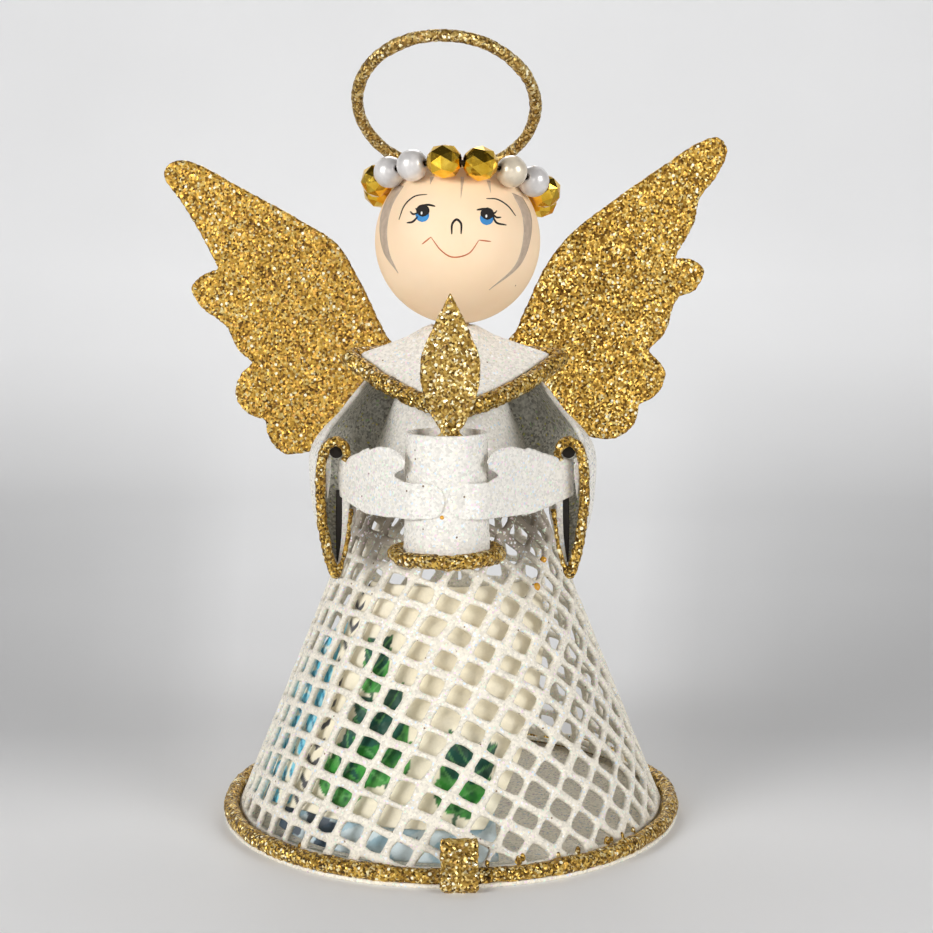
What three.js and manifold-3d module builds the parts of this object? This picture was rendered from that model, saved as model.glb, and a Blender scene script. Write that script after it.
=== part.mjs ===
// A small sheet-metal angel with a net skirt, for a table or, with its base swung open, for a tree's tip.
// Millimetres, +Z up. The angel faces -Y, its left wing is at -X, and the origin is under the base's centre.
import * as THREE from 'three';
import { mergeVertices } from 'three/addons/utils/BufferGeometryUtils.js';
import Module from 'manifold-3d';

// Clearances and stock
const GAP = 0.3;
const SHEET = 0.5;
const MERGE_DISTANCE = 1e-4;

// Skirt: a square net rolled into a cone, which runs on to the shoulders at the bodice's top
const HEM_RADIUS = 26.03;
const HEM_HEIGHT = 1.1;
const SHOULDER_RADIUS = 3.97;
const NET_TUCK = 6.5;
const NET_THICKNESS = 0.8;
const NET_PITCH = 4.45;
const NET_STRAND = 1.15;
const NET_LEAN = THREE.MathUtils.degToRad(25);
const NET_EDGE = 0.7;
const NET_SMALLEST_HOLE = 1.6;
const NET_SEAM = 0.25;

// Base plate, its rim and its two tongues
const RIM_CLEARANCE = 0.6;
const RIM_BEAD_RADIUS = 0.95;
const RIM_BEAD_SINK = 0.35;
const BASE_EDGE = 0.9;
const TAB_WIDTH = 4.35;
const TAB_OFFSET = 1.05;
const TAB_HEIGHT = 5.1;
const TAB_THICKNESS = 0.5;
const TAB_REACH = 1.3;
const TAB_SHOULDER = 1.7;
const STRAP_WIDTH = 6;
const STRAP_TOP = 8;

// Paper slip curled inside the skirt: heights, and angles round the axis from the front, + to the right
const PAPER_THICKNESS = 0.4;
const PAPER_GAP = 0.5;
const PAPER_BOTTOM = 3.8;
const PAPER_TOP = 30.5;
const PAPER_CORNER = 1;
const PAPER_LEFT_LOW = 8;
const PAPER_LEFT_ANGLE = THREE.MathUtils.degToRad(-104);
const PAPER_FOLD_ANGLE = THREE.MathUtils.degToRad(-46);
const PAPER_RIGHT_LOW_ANGLE = THREE.MathUtils.degToRad(10);
const PAPER_RIGHT_TOP_ANGLE = THREE.MathUtils.degToRad(58);

// Bodice, neck and collar, whose points are heights from the neck
const BODICE_LENGTH = 14.15;
const NECK_HEIGHT = 60.25;
const BODICE_DROP = 3.8;
const PEG_RADIUS = 2;
const PEG_BORE_RADIUS = 2.4;
const PEG_FOOT = 7;
const PEG_IN_HEAD = 6;
const COLLAR_SHIFT = 0.6;
const COLLAR_CORNER = new THREE.Vector3(12.9, -0.5, -3.65);
const COLLAR_FRONT = new THREE.Vector3(0, -11.6, -9.25);
const COLLAR_BACK = new THREE.Vector3(0, 8.5, -3.05);
const COLLAR_BOW = 1.4;
const COLLAR_ROPE_RADIUS = 0.75;

// Head, crown and halo
const HEAD_RADIUS = 10;
const HEAD_GAP = 0.4;
const NECK_LEAN = THREE.MathUtils.degToRad(3.6);
const BEAD_DIAMETER = 3.86;
const BEAD_GAP = 0.25;
const BEAD_SEAT = 0.33;
const BEAD_BORE_RADIUS = 0.85;
const FACET_END = 0.88;
const FACET_SHOULDER = 0.72;
const CROWN_WIRE_RADIUS = 0.3;
const CROWN_LATITUDE = THREE.MathUtils.degToRad(30);
const CROWN_TILT = THREE.MathUtils.degToRad(20);
const HALO_RADIUS = 10.85;
const HALO_WIRE_RADIUS = 0.72;
const HALO_TILT = THREE.MathUtils.degToRad(40);
const HALO_OFFSET = new THREE.Vector3(-2.4, 3, 16.6);
const STEM_RADIUS = 0.55;
const STEM_DEPTH = 3;

// Candle, tray and flame
const CANDLE_X = -0.25;
const CANDLE_BOTTOM_RADIUS = 4.9;
const CANDLE_TOP_RADIUS = 4.3;
const CANDLE_HEIGHT = 13.7;
const TRAY_HEIGHT = 35.4;
const TRAY_RADIUS = 6.2;
const TRAY_BEAD_RADIUS = 0.75;
const TRAY_BEAD_SINK = 0.3;
const FLAME_HEIGHT = 15.2;
const FLAME_HALF_WIDTH = 3.45;
const FLAME_FOOT_HALF_WIDTH = 1.25;
const FLAME_TONGUE = 5;
const FLAME_WIDEST_AT = 0.41;
const FLAME_TAPER_AT = 0.78;
const FLAME_TAPER = 0.52;

// Sleeves, cuffs and arms, written for the right side and mirrored for the left. Heights are from the
// candle's foot, and those of the sleeve's top are from the bodice's top
const SLEEVE_SHIFT = 0.55;
const CUFF_DEPTH = -14;
const CUFF_EDGING_RADIUS = 0.6;
const SLEEVE_FRONT_TOP = [[10.2, 0.2, -1.25], [13.9, -7.5, -5.25]];
const SLEEVE_FRONT = [[15.4, -12.8, 11.4], [15.5, -13.6, 6.1], [15.1, -13.6, 1.6], [13.7, -13.6, -2.6]];
const SLEEVE_OUTER_TOP = [[9.6, 1.6, -1.15], [14, -2, -5.25]];
const SLEEVE_OUTER = [[16, -6.5, 11.1], [16.1, -9, 6.1], [15.3, -11, 1.6], [13.6, -12.9, -2.3]];
const SLEEVE_BACK_TOP = [[7.6, 3.4, -1.65], [10.8, 3, -5.45]];
const SLEEVE_BACK = [[12.8, 0.5, 10.1], [13.4, -4.5, 5.6], [13.4, -9, 1.6], [13.3, -12.6, -2.1]];
const SLEEVE_INNER_TOP = [-1.65, -5.45, -10.15];
const SLEEVE_INNER_ANGLES = [135, 130, 105];
const SLEEVE_INNER = [[11.6, -5, 6.1], [11.5, -13.2, 3.1], [13, -13.6, -2.5]];
const CUFF_CURL = [[12.1, 10.7], [12.3, 11.6], [13.3, 12.3], [14.6, 11.7]];
const CUFF_OUTER = [[15.4, 9.7], [15.55, 5.6], [15.1, 1.1], [14.3, -1.9]];
const CUFF_TIP = [13.55, -3.4];
const CUFF_INNER = [[12.7, -2.3], [12.1, 0.3], [11.5, 3.5]];
const WRIST_X = 14;
const WRIST_DEPTH = -12.4;
const ARM_THICKNESS = 0.7;
const ARM_STATIONS = [0.2, 0.55, 1.2, 2.2, 3, 3.8, 4.6, 5.6, 7.3, 9.3, 11.3, 13.3];
const ARM_TOP = [[0.2, 7], [0.55, 7.8], [1.2, 8.3], [2.2, 8.5], [4.6, 8.5], [5.6, 8.9],
  [7.3, 10.1], [9.3, 10.7], [11.3, 10.3], [WRIST_X, 9.7]];
const ARM_BOTTOM = [[0.2, 6.4], [0.55, 5.4], [1.2, 4.8], [2.2, 4.5], [5.6, 4.3], [9.3, 4.1],
  [11.3, 4.6], [WRIST_X, 5.5]];
const THUMB = [[10.6, 9.7], [6.6, 9.1], [5.6, 9.3], [4.7, 9.9], [4.5, 10.8], [5, 11.6], [6, 12.1],
  [7.4, 12.1], [9, 11.5]];

// Wings: outline in the wing's own plane, out from the axis and up
const WING_THICKNESS = 0.6;
const WING_SWEEP = THREE.MathUtils.degToRad(17);
const WING_ROLL = THREE.MathUtils.degToRad(-2.2);
const WING_SEAT_HEIGHT = 49.5;
const WING_PIVOT_HEIGHT = 58;
const WING_ROOT = [[3.2, 49.5], [3.2, 54], [6.4, 54], [11, 58.4]];
const WING_LEADING_EDGE = [[13.7, 64.1], [17.2, 70], [20.1, 72.4], [28.4, 77], [36, 81.8], [39, 82.6],
  [41.2, 81.3], [40.1, 78.4], [36.9, 74.4], [35.5, 69.9], [33.8, 68]];
const WING_SECOND_LOBE = [[36.5, 67.2], [37.8, 66.1], [36.4, 63], [33.3, 60.5], [31.4, 56.7], [29.7, 55.5]];
const WING_THIRD_LOBE = [[31.6, 53.6], [32.3, 51.6], [30.6, 49.1], [28.4, 48.2]];
const WING_FOURTH_LOBE = [[27.7, 45.4], [25.2, 43.7], [21.9, 43.9]];

// How finely round shapes are faceted
const BASE_SEGMENTS = 56;
const RIM_POINTS = 7;
const CONE_SEGMENTS = 40;
const SMALL_SEGMENTS = 24;
const HEAD_SEGMENTS = 32;
const WIRE_SIDES = 6;
const ROPE_SIDES = 7;
const STEM_SIDES = 8;
const HALO_SEGMENTS = 44;
const EDGING_STEPS = 36;
const WIRE_STEPS_PER_BEAD = 3;
const FACETS = 8;
const PEARL_SEGMENTS = 10;
const HEM_STEPS = 64;
const SLEEVE_ROWS = 12;
const SLEEVE_COLUMNS = 11;
const COLLAR_STEPS = 9;
const COLLAR_ROWS = 2;
const ROPE_STEPS_PER_POINT = 2;
const PAPER_COLUMNS = 24;
const PAPER_ROWS = 4;
const CURVE_POINTS = 3;

// Values that follow from those above
const PLATE_TOP = SHEET;
const BODICE_TOP = NECK_HEIGHT - BODICE_DROP;
const BODICE_BOTTOM = BODICE_TOP - BODICE_LENGTH;
const SKIRT_TOP = BODICE_BOTTOM + NET_TUCK;
const SKIRT_SLOPE = (HEM_RADIUS - SHOULDER_RADIUS) / (BODICE_TOP - HEM_HEIGHT);
const SKIRT_HALF_ANGLE = Math.atan(SKIRT_SLOPE);
const SKIRT_SIN = Math.sin(SKIRT_HALF_ANGLE);
const SKIRT_COS = Math.cos(SKIRT_HALF_ANGLE);
const APEX_HEIGHT = HEM_HEIGHT + HEM_RADIUS / SKIRT_SLOPE;
const RIM_RADIUS = HEM_RADIUS + RIM_CLEARANCE + RIM_BEAD_RADIUS;
const BASE_RADIUS = RIM_RADIUS + BASE_EDGE;
const HEAD_ABOVE_BODICE = BODICE_DROP + HEAD_GAP + HEAD_RADIUS;
const FRONT_RADIUS = Math.max(skirtRadius(TRAY_HEIGHT), bodiceRadius(BODICE_BOTTOM));
const CANDLE_Y = -(FRONT_RADIUS + GAP + TRAY_RADIUS + TRAY_BEAD_RADIUS);
const CANDLE_FOOT = TRAY_HEIGHT + SHEET;

const X_AXIS = new THREE.Vector3(1, 0, 0);

const wasm = await Module();
wasm.setup();

// Outer radius of the net cone at a height
function skirtRadius(height) {
  return HEM_RADIUS - (height - HEM_HEIGHT) * SKIRT_SLOPE;
}

// Outer radius of the bodice at a height: the net, a gap and the sheet, square to the slope
function bodiceRadius(height) {
  return skirtRadius(height) + (GAP + SHEET) / SKIRT_COS;
}

// One closed body: shared vertices merged, empty triangles dropped, faces turned outward
function closed(geometry) {
  const bare = new THREE.BufferGeometry();
  bare.setAttribute('position', geometry.getAttribute('position'));
  bare.setIndex(geometry.getIndex());
  const merged = mergeVertices(bare, MERGE_DISTANCE);
  const index = merged.getIndex().array;
  const position = merged.getAttribute('position');
  const kept = [];
  let volume = 0;
  const [a, b, c] = [new THREE.Vector3(), new THREE.Vector3(), new THREE.Vector3()];
  for (let i = 0; i < index.length; i += 3) {
    const [p, q, r] = [index[i], index[i + 1], index[i + 2]];
    if (p === q || q === r || r === p) continue;
    kept.push(p, q, r);
    a.fromBufferAttribute(position, p);
    b.fromBufferAttribute(position, q);
    c.fromBufferAttribute(position, r);
    volume += a.dot(b.cross(c));
  }
  if (volume < 0) kept.reverse();
  merged.setIndex(kept);
  return merged;
}

function fromTriangles(points, triangles) {
  const geometry = new THREE.BufferGeometry();
  geometry.setAttribute('position', new THREE.Float32BufferAttribute(points.flatMap((p) => p.toArray()), 3));
  geometry.setIndex(triangles);
  return closed(geometry);
}

// A body turned about Z from a profile of [radius, height] points
function turned(profile, segments) {
  const points = profile.map(([radius, height]) => new THREE.Vector2(radius, height));
  return closed(new THREE.LatheGeometry(points, segments).rotateX(Math.PI / 2));
}

function ring(profile, segments) {
  return turned([...profile, profile[0]], segments);
}

// A body between two grids of points that face each other, with walls round their borders
function slab(front, back, wraps = false) {
  const rows = front.length;
  const columns = front[0].length;
  const half = rows * columns;
  const triangles = [];
  const quad = (a, b, c, d) => triangles.push(a, b, c, a, c, d);
  const at = (i, j) => i * columns + (j % columns);
  const lastColumn = wraps ? columns : columns - 1;
  for (let i = 0; i < rows - 1; i += 1) {
    for (let j = 0; j < lastColumn; j += 1) {
      quad(at(i, j), at(i, j + 1), at(i + 1, j + 1), at(i + 1, j));
      quad(half + at(i, j), half + at(i + 1, j), half + at(i + 1, j + 1), half + at(i, j + 1));
    }
  }
  for (let j = 0; j < lastColumn; j += 1) {
    quad(at(0, j + 1), at(0, j), half + at(0, j), half + at(0, j + 1));
    quad(at(rows - 1, j), at(rows - 1, j + 1), half + at(rows - 1, j + 1), half + at(rows - 1, j));
  }
  for (let i = 0; i < rows - 1 && !wraps; i += 1) {
    quad(at(i, 0), at(i + 1, 0), half + at(i + 1, 0), half + at(i, 0));
    const last = columns - 1;
    quad(at(i + 1, last), at(i, last), half + at(i, last), half + at(i + 1, last));
  }
  return fromTriangles([...front.flat(), ...back.flat()], triangles);
}

// A sheet of even thickness about a grid of points
function sheet(grid, thickness) {
  const rows = grid.length;
  const columns = grid[0].length;
  const normalAt = (i, j) => {
    const along = grid[Math.min(i + 1, rows - 1)][j].clone().sub(grid[Math.max(i - 1, 0)][j]);
    const across = grid[i][Math.min(j + 1, columns - 1)].clone().sub(grid[i][Math.max(j - 1, 0)]);
    return along.cross(across).normalize();
  };
  const side = (distance) => grid.map((row, i) => row.map(
    (point, j) => point.clone().addScaledVector(normalAt(i, j), distance)));
  return slab(side(thickness / 2), side(-thickness / 2));
}

// A round bar along an open curve
function bar(curve, radius, steps, sides) {
  const section = new THREE.Shape();
  section.setFromPoints(Array.from({ length: sides }, (_, k) => {
    const angle = 2 * Math.PI * k / sides;
    return new THREE.Vector2(radius * Math.cos(angle), radius * Math.sin(angle));
  }));
  return closed(new THREE.ExtrudeGeometry(section, { steps, bevelEnabled: false, extrudePath: curve }));
}

function plateFrom(shape, thickness) {
  const options = { depth: thickness, bevelEnabled: false, curveSegments: CURVE_POINTS };
  return new THREE.ExtrudeGeometry(shape, options).rotateX(Math.PI / 2);
}

function toManifold(geometry) {
  const body = closed(geometry);
  const vertProperties = Float32Array.from(body.getAttribute('position').array);
  const triVerts = Uint32Array.from(body.getIndex().array);
  return new wasm.Manifold(new wasm.Mesh({ numProp: 3, vertProperties, triVerts }));
}

function fromManifold(body) {
  const mesh = body.getMesh();
  const geometry = new THREE.BufferGeometry();
  geometry.setAttribute('position', new THREE.Float32BufferAttribute(mesh.vertProperties, 3));
  geometry.setIndex(Array.from(mesh.triVerts));
  return closed(geometry);
}

// Height along a profile of [x, z] points, straight between them
function profileHeight(profile, x) {
  const last = profile.length - 1;
  let k = 0;
  while (k < last - 1 && profile[k + 1][0] < x) k += 1;
  const share = (x - profile[k][0]) / (profile[k + 1][0] - profile[k][0]);
  return THREE.MathUtils.lerp(profile[k][1], profile[k + 1][1], share);
}

// Materials
function finish(color, roughness, metalness) {
  return new THREE.MeshStandardMaterial({ color, roughness, metalness });
}

const WHITE_GLITTER = finish(0xe8e4de, 0.6, 0);
const GOLD_GLITTER = finish(0xb08832, 0.4, 0.8);
const NET_WHITE = finish(0xeee8dc, 0.65, 0);
const PAPER = finish(0xf5ecd6, 0.8, 0);
const WOOD = finish(0xf5d7b4, 0.45, 0);
const BARE_WOOD = finish(0xd9b98a, 0.7, 0);
const PEARL = finish(0xe1dcdc, 0.2, 0);
const GOLD_BEAD = finish(0xd9a526, 0.15, 1);
const WIRE = finish(0x6a5a3a, 0.4, 0.9);

const angel = new THREE.Group();
angel.name = 'angel_tree_topper';

function add(name, geometry, material, parent = angel) {
  const mesh = new THREE.Mesh(geometry, material);
  mesh.name = name;
  parent.add(mesh);
  return mesh;
}

// Bead section that lies flat on a plate: an arc from one foot to the other
function beadProfile(radius, bead, sink, flat) {
  const start = Math.asin((bead - sink) / bead);
  return Array.from({ length: RIM_POINTS }, (_, k) => {
    const angle = -start + (Math.PI + 2 * start) * k / (RIM_POINTS - 1);
    return [radius + bead * Math.cos(angle), flat + bead - sink + bead * Math.sin(angle)];
  });
}

function buildBase() {
  add('base_plate', turned([[0, 0], [BASE_RADIUS, 0], [BASE_RADIUS, PLATE_TOP], [0, PLATE_TOP]],
    BASE_SEGMENTS), WHITE_GLITTER);
  add('base_rim', ring(beadProfile(RIM_RADIUS, RIM_BEAD_RADIUS, RIM_BEAD_SINK, PLATE_TOP), BASE_SEGMENTS),
    GOLD_GLITTER);
}

// A tongue's side view from its foot on the floor, up behind the rim and in to its tip
function tongue(path, width) {
  const outline = new THREE.Shape(path.map(([out, up]) => new THREE.Vector2(out, up)));
  return new THREE.ExtrudeGeometry(outline, { depth: width, bevelEnabled: false })
    .translate(0, 0, -width / 2);
}

function buildTongues() {
  const foot = BASE_RADIUS + GAP;
  const outside = foot + TAB_REACH;
  const inside = outside - TAB_THICKNESS;
  const tip = HEM_RADIUS + GAP;
  const slope = (outside - tip - TAB_THICKNESS) / (TAB_HEIGHT - TAB_SHOULDER);
  const lean = TAB_THICKNESS * Math.hypot(1, slope);
  const catchPath = [[foot, 0], [outside - TAB_THICKNESS, 0], [outside, TAB_THICKNESS],
    [outside, TAB_SHOULDER], [tip + lean, TAB_HEIGHT], [tip, TAB_HEIGHT], [inside, TAB_SHOULDER],
    [inside, TAB_THICKNESS], [foot, TAB_THICKNESS]];
  const catchTab = tongue(catchPath, TAB_WIDTH).rotateX(Math.PI / 2).rotateZ(-Math.PI / 2);
  add('catch_tab', closed(catchTab.translate(TAB_OFFSET, 0, 0)), GOLD_GLITTER);

  const off = GAP / SKIRT_COS;
  const over = TAB_THICKNESS / SKIRT_COS;
  const landing = STRAP_TOP / 2;
  const strapPath = [[foot + GAP, 0], [outside, 0], [outside, TAB_SHOULDER],
    [skirtRadius(landing) + off + over, landing + over], [skirtRadius(STRAP_TOP) + off + over, STRAP_TOP],
    [skirtRadius(STRAP_TOP) + off, STRAP_TOP], [skirtRadius(landing) + off, landing],
    [inside, TAB_SHOULDER], [inside, TAB_THICKNESS], [foot + GAP, TAB_THICKNESS]];
  add('rear_strap', closed(tongue(strapPath, STRAP_WIDTH).rotateX(Math.PI / 2).rotateZ(Math.PI / 2)),
    WHITE_GLITTER);
}

// Keeps the part of a polygon inside a convex window, both counterclockwise
function clip(polygon, window) {
  let kept = polygon;
  window.forEach((from, k) => {
    const to = window[(k + 1) % window.length];
    const side = (p) => (to.x - from.x) * (p.y - from.y) - (to.y - from.y) * (p.x - from.x);
    const result = [];
    kept.forEach((point, i) => {
      const next = kept[(i + 1) % kept.length];
      const [here, there] = [side(point), side(next)];
      if (here >= 0) result.push(point);
      if (here * there < 0) result.push(point.clone().lerp(next, here / (here - there)));
    });
    kept = result;
  });
  return kept;
}

// The flat blank of the skirt, drawn in by a border: a pie slice, its apex at the origin and its hem below
function skirtBlank(border) {
  const half = Math.PI * SKIRT_SIN;
  const inset = border + NET_SEAM;
  const hem = HEM_RADIUS / SKIRT_SIN - border;
  const end = half - Math.asin(inset / hem);
  const arc = Array.from({ length: HEM_STEPS + 1 }, (_, k) => {
    const turn = end * (2 * k / HEM_STEPS - 1);
    return new THREE.Vector2(hem * Math.sin(turn), -hem * Math.cos(turn));
  });
  return [...arc, new THREE.Vector2(0, -inset / Math.sin(half))];
}

// Rolls a point of the flat blank, at a depth under its outer face, onto the cone
function rolled(point, depth) {
  const along = point.length();
  const turn = Math.atan2(point.x, -point.y) / SKIRT_SIN;
  const radius = along * SKIRT_SIN - depth * SKIRT_COS;
  const height = APEX_HEIGHT - along * SKIRT_COS - depth * SKIRT_SIN;
  return new THREE.Vector3(radius * Math.sin(turn), -radius * Math.cos(turn), height);
}

// The net is cut cell by cell: each cell keeps its border, and its middle is a hole. Whole cells end its top
function buildSkirt() {
  const blank = skirtBlank(0);
  const punched = skirtBlank(NET_EDGE);
  const reach = Math.ceil(HEM_RADIUS / SKIRT_SIN / NET_PITCH) + 1;
  const topRadius = (APEX_HEIGHT - SKIRT_TOP) / SKIRT_COS;
  const across = new THREE.Vector2(Math.cos(NET_LEAN), -Math.sin(NET_LEAN));
  const upward = new THREE.Vector2(Math.sin(NET_LEAN), Math.cos(NET_LEAN));
  const cell = (column, row, inset) => [[0, 0], [1, 0], [1, 1], [0, 1]].map(([right, up]) => {
    const a = (column + right) * NET_PITCH + (right ? -inset : inset);
    const b = (row + up) * NET_PITCH + (up ? -inset : inset);
    return across.clone().multiplyScalar(a).addScaledVector(upward, b);
  });
  const points = [];
  const triangles = [];
  const loose = new Map();
  const key = (p) => `${Math.round(p.x / MERGE_DISTANCE)},${Math.round(p.y / MERGE_DISTANCE)}`;
  const wall = (from, to) => {
    const k = points.length;
    points.push(rolled(from, 0), rolled(to, 0), rolled(to, NET_THICKNESS), rolled(from, NET_THICKNESS));
    triangles.push(k, k + 2, k + 1, k, k + 3, k + 2);
  };
  for (let column = -reach; column <= reach; column += 1) {
    for (let row = -reach; row <= reach; row += 1) {
      const square = cell(column, row, 0);
      const tile = clip(blank, square);
      if (tile.length < 3 || square.some((corner) => corner.length() < topRadius)) continue;
      const hole = clip(punched, cell(column, row, NET_STRAND / 2));
      const open = hole.length > 2 && THREE.ShapeUtils.area(hole) > NET_SMALLEST_HOLE;
      const flat = open ? [...tile, ...hole] : tile;
      const start = points.length;
      points.push(...flat.map((p) => rolled(p, 0)), ...flat.map((p) => rolled(p, NET_THICKNESS)));
      THREE.ShapeUtils.triangulateShape(tile, open ? [hole] : []).forEach(([a, b, c]) => {
        const upright = THREE.ShapeUtils.area([flat[a], flat[b], flat[c]]) > 0;
        const [p, q, r] = upright ? [a, b, c] : [a, c, b];
        triangles.push(start + p, start + q, start + r);
        triangles.push(start + flat.length + p, start + flat.length + r, start + flat.length + q);
      });
      tile.forEach((from, k) => {
        const to = tile[(k + 1) % tile.length];
        const opposite = `${key(to)}>${key(from)}`;
        if (!loose.delete(opposite)) loose.set(`${key(from)}>${key(to)}`, [from, to]);
      });
      if (open) hole.forEach((from, k) => wall(hole[(k + 1) % hole.length], from));
    }
  }
  loose.forEach(([from, to]) => wall(from, to));
  add('skirt_mesh', fromTriangles(points, triangles), NET_WHITE);
}

// The slip follows the inside of the net between a slanting right edge and a slanting left fold
function buildPaper() {
  const depth = NET_THICKNESS + PAPER_GAP;
  const face = (sunk) => Array.from({ length: PAPER_ROWS + 1 }, (_, i) => (
    Array.from({ length: PAPER_COLUMNS + 1 }, (__, j) => {
      const turn = THREE.MathUtils.lerp(PAPER_LEFT_ANGLE, PAPER_RIGHT_TOP_ANGLE, j / PAPER_COLUMNS);
      const top = THREE.MathUtils.mapLinear(Math.min(turn, PAPER_FOLD_ANGLE), PAPER_LEFT_ANGLE,
        PAPER_FOLD_ANGLE, PAPER_LEFT_LOW, PAPER_TOP);
      const bottom = THREE.MathUtils.mapLinear(Math.max(turn, PAPER_RIGHT_LOW_ANGLE), PAPER_RIGHT_LOW_ANGLE,
        PAPER_RIGHT_TOP_ANGLE, PAPER_BOTTOM, PAPER_TOP - PAPER_CORNER);
      const height = THREE.MathUtils.lerp(bottom, top, i / PAPER_ROWS);
      const along = (APEX_HEIGHT - height) / SKIRT_COS;
      const flat = new THREE.Vector2(Math.sin(turn * SKIRT_SIN), -Math.cos(turn * SKIRT_SIN));
      return rolled(flat.multiplyScalar(along), depth + sunk);
    })));
  add('paper_slip', slab(face(0), face(PAPER_THICKNESS)), PAPER);
}

function buildBodice() {
  const wall = SHEET / SKIRT_COS;
  const lid = BODICE_TOP - SHEET;
  const profile = [[bodiceRadius(BODICE_BOTTOM) - wall, BODICE_BOTTOM],
    [bodiceRadius(BODICE_BOTTOM), BODICE_BOTTOM], [bodiceRadius(BODICE_TOP), BODICE_TOP],
    [PEG_BORE_RADIUS, BODICE_TOP], [PEG_BORE_RADIUS, lid], [bodiceRadius(lid) - wall, lid]];
  add('bodice', ring(profile, CONE_SEGMENTS), WHITE_GLITTER);
}

// The neck leans to the angel's left and carries the head
function buildNeck() {
  const neck = new THREE.Group();
  neck.position.z = BODICE_TOP;
  neck.rotation.y = NECK_LEAN;
  angel.add(neck);
  const tip = HEAD_ABOVE_BODICE - HEAD_RADIUS + PEG_IN_HEAD;
  add('neck_peg', turned([[0, -PEG_FOOT], [PEG_RADIUS, -PEG_FOOT], [PEG_RADIUS, tip], [0, tip]],
    SMALL_SEGMENTS), BARE_WOOD, neck);
  buildHead(neck);
}

// The collar's edge: bowed runs between its front point, its side corners and its back, drooping in front
function collarEdge() {
  const mirrored = (point) => new THREE.Vector3(-point.x, point.y, point.z);
  const bowed = (from, to) => {
    const middle = from.clone().add(to).multiplyScalar(0.5);
    const outward = new THREE.Vector3(middle.x, middle.y, 0).normalize();
    const drop = middle.y < 0 ? COLLAR_BOW : 0;
    middle.addScaledVector(outward, COLLAR_BOW).setZ(middle.z - drop);
    return new THREE.QuadraticBezierCurve3(from, middle, to);
  };
  const left = mirrored(COLLAR_CORNER);
  const corners = [COLLAR_FRONT, COLLAR_CORNER, COLLAR_BACK, left];
  return corners.flatMap((from, k) => {
    const run = bowed(from, corners[(k + 1) % corners.length]);
    return run.getPoints(COLLAR_STEPS).slice(0, -1);
  });
}

function buildCollar() {
  const edge = collarEdge();
  const pegX = BODICE_DROP * Math.tan(NECK_LEAN) - COLLAR_SHIFT;
  const neck = edge.map((point) => {
    const around = new THREE.Vector2(point.x - pegX, point.y).setLength(PEG_BORE_RADIUS);
    return new THREE.Vector3(around.x + pegX, around.y, 0);
  });
  const inset = COLLAR_ROPE_RADIUS + GAP + SHEET * Math.SQRT1_2;
  const top = Array.from({ length: COLLAR_ROWS + 1 }, (_, i) => edge.map((point, k) => {
    const run = point.clone().sub(neck[k]);
    return neck[k].clone().addScaledVector(run, (i / COLLAR_ROWS) * (1 - inset / run.length()));
  }));
  const bottom = top.map((row) => row.map((point) => point.clone().setZ(point.z - SHEET)));
  const collar = new THREE.Group();
  collar.position.set(COLLAR_SHIFT, 0, NECK_HEIGHT);
  angel.add(collar);
  add('collar', slab(top, bottom, true), WHITE_GLITTER, collar);
  const rope = new THREE.CatmullRomCurve3(edge, true, 'centripetal');
  add('collar_edging', closed(new THREE.TubeGeometry(rope, edge.length * ROPE_STEPS_PER_POINT,
    COLLAR_ROPE_RADIUS, ROPE_SIDES, true)), GOLD_GLITTER, collar);
}

function sleeveGuides(side) {
  const raised = (points, height) => points.map(([x, y, z]) => new THREE.Vector3(x, y, z + height));
  const guide = (top, low) => [...raised(top, BODICE_TOP), ...raised(low, CANDLE_FOOT)];
  const innerTop = SLEEVE_INNER_TOP.map((drop, k) => {
    const angle = THREE.MathUtils.degToRad(SLEEVE_INNER_ANGLES[k]);
    const radius = bodiceRadius(BODICE_TOP + drop) + GAP + SHEET;
    return [radius * Math.sin(angle) - side * SLEEVE_SHIFT, -radius * Math.cos(angle), drop];
  });
  return [guide(SLEEVE_FRONT_TOP, SLEEVE_FRONT), guide(SLEEVE_OUTER_TOP, SLEEVE_OUTER),
    guide(SLEEVE_BACK_TOP, SLEEVE_BACK), guide(innerTop, SLEEVE_INNER)]
    .map((points) => new THREE.CatmullRomCurve3(points, false, 'centripetal'));
}

function mirrorX(geometry, side) {
  return closed(geometry.scale(side, 1, 1));
}

// Where a vertical sheet from the wrist, tangent to the candle, lies in depth at an x
function armDepth(x) {
  const reach = CANDLE_BOTTOM_RADIUS + GAP;
  const wrist = new THREE.Vector2(WRIST_X, WRIST_DEPTH - CANDLE_Y);
  const turn = Math.atan2(wrist.y, wrist.x) - Math.acos(reach / wrist.length());
  const touch = new THREE.Vector2(reach * Math.cos(turn), reach * Math.sin(turn));
  if (x <= touch.x) return CANDLE_Y - Math.sqrt(reach * reach - x * x);
  return CANDLE_Y + THREE.MathUtils.mapLinear(x, touch.x, wrist.x, touch.y, wrist.y);
}

function buildArm(name, side) {
  const stations = [...ARM_STATIONS, WRIST_X];
  const face = (thickness) => [ARM_BOTTOM, ARM_TOP].map((profile) => stations.map(
    (x) => new THREE.Vector3(x, armDepth(x) - thickness, profileHeight(profile, x))));
  const forearm = slab(face(0), face(ARM_THICKNESS));
  const outline = new THREE.Shape(THUMB.map(([x, z]) => new THREE.Vector2(x, z)));
  const thumb = plateFrom(outline, ARM_THICKNESS);
  const position = thumb.getAttribute('position');
  for (let k = 0; k < position.count; k += 1) {
    position.setY(k, position.getY(k) + armDepth(position.getX(k)));
  }
  const hand = fromManifold(toManifold(forearm).add(toManifold(thumb)));
  add(name, mirrorX(hand, side), WHITE_GLITTER).position.set(CANDLE_X, 0, CANDLE_FOOT);
}

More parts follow.
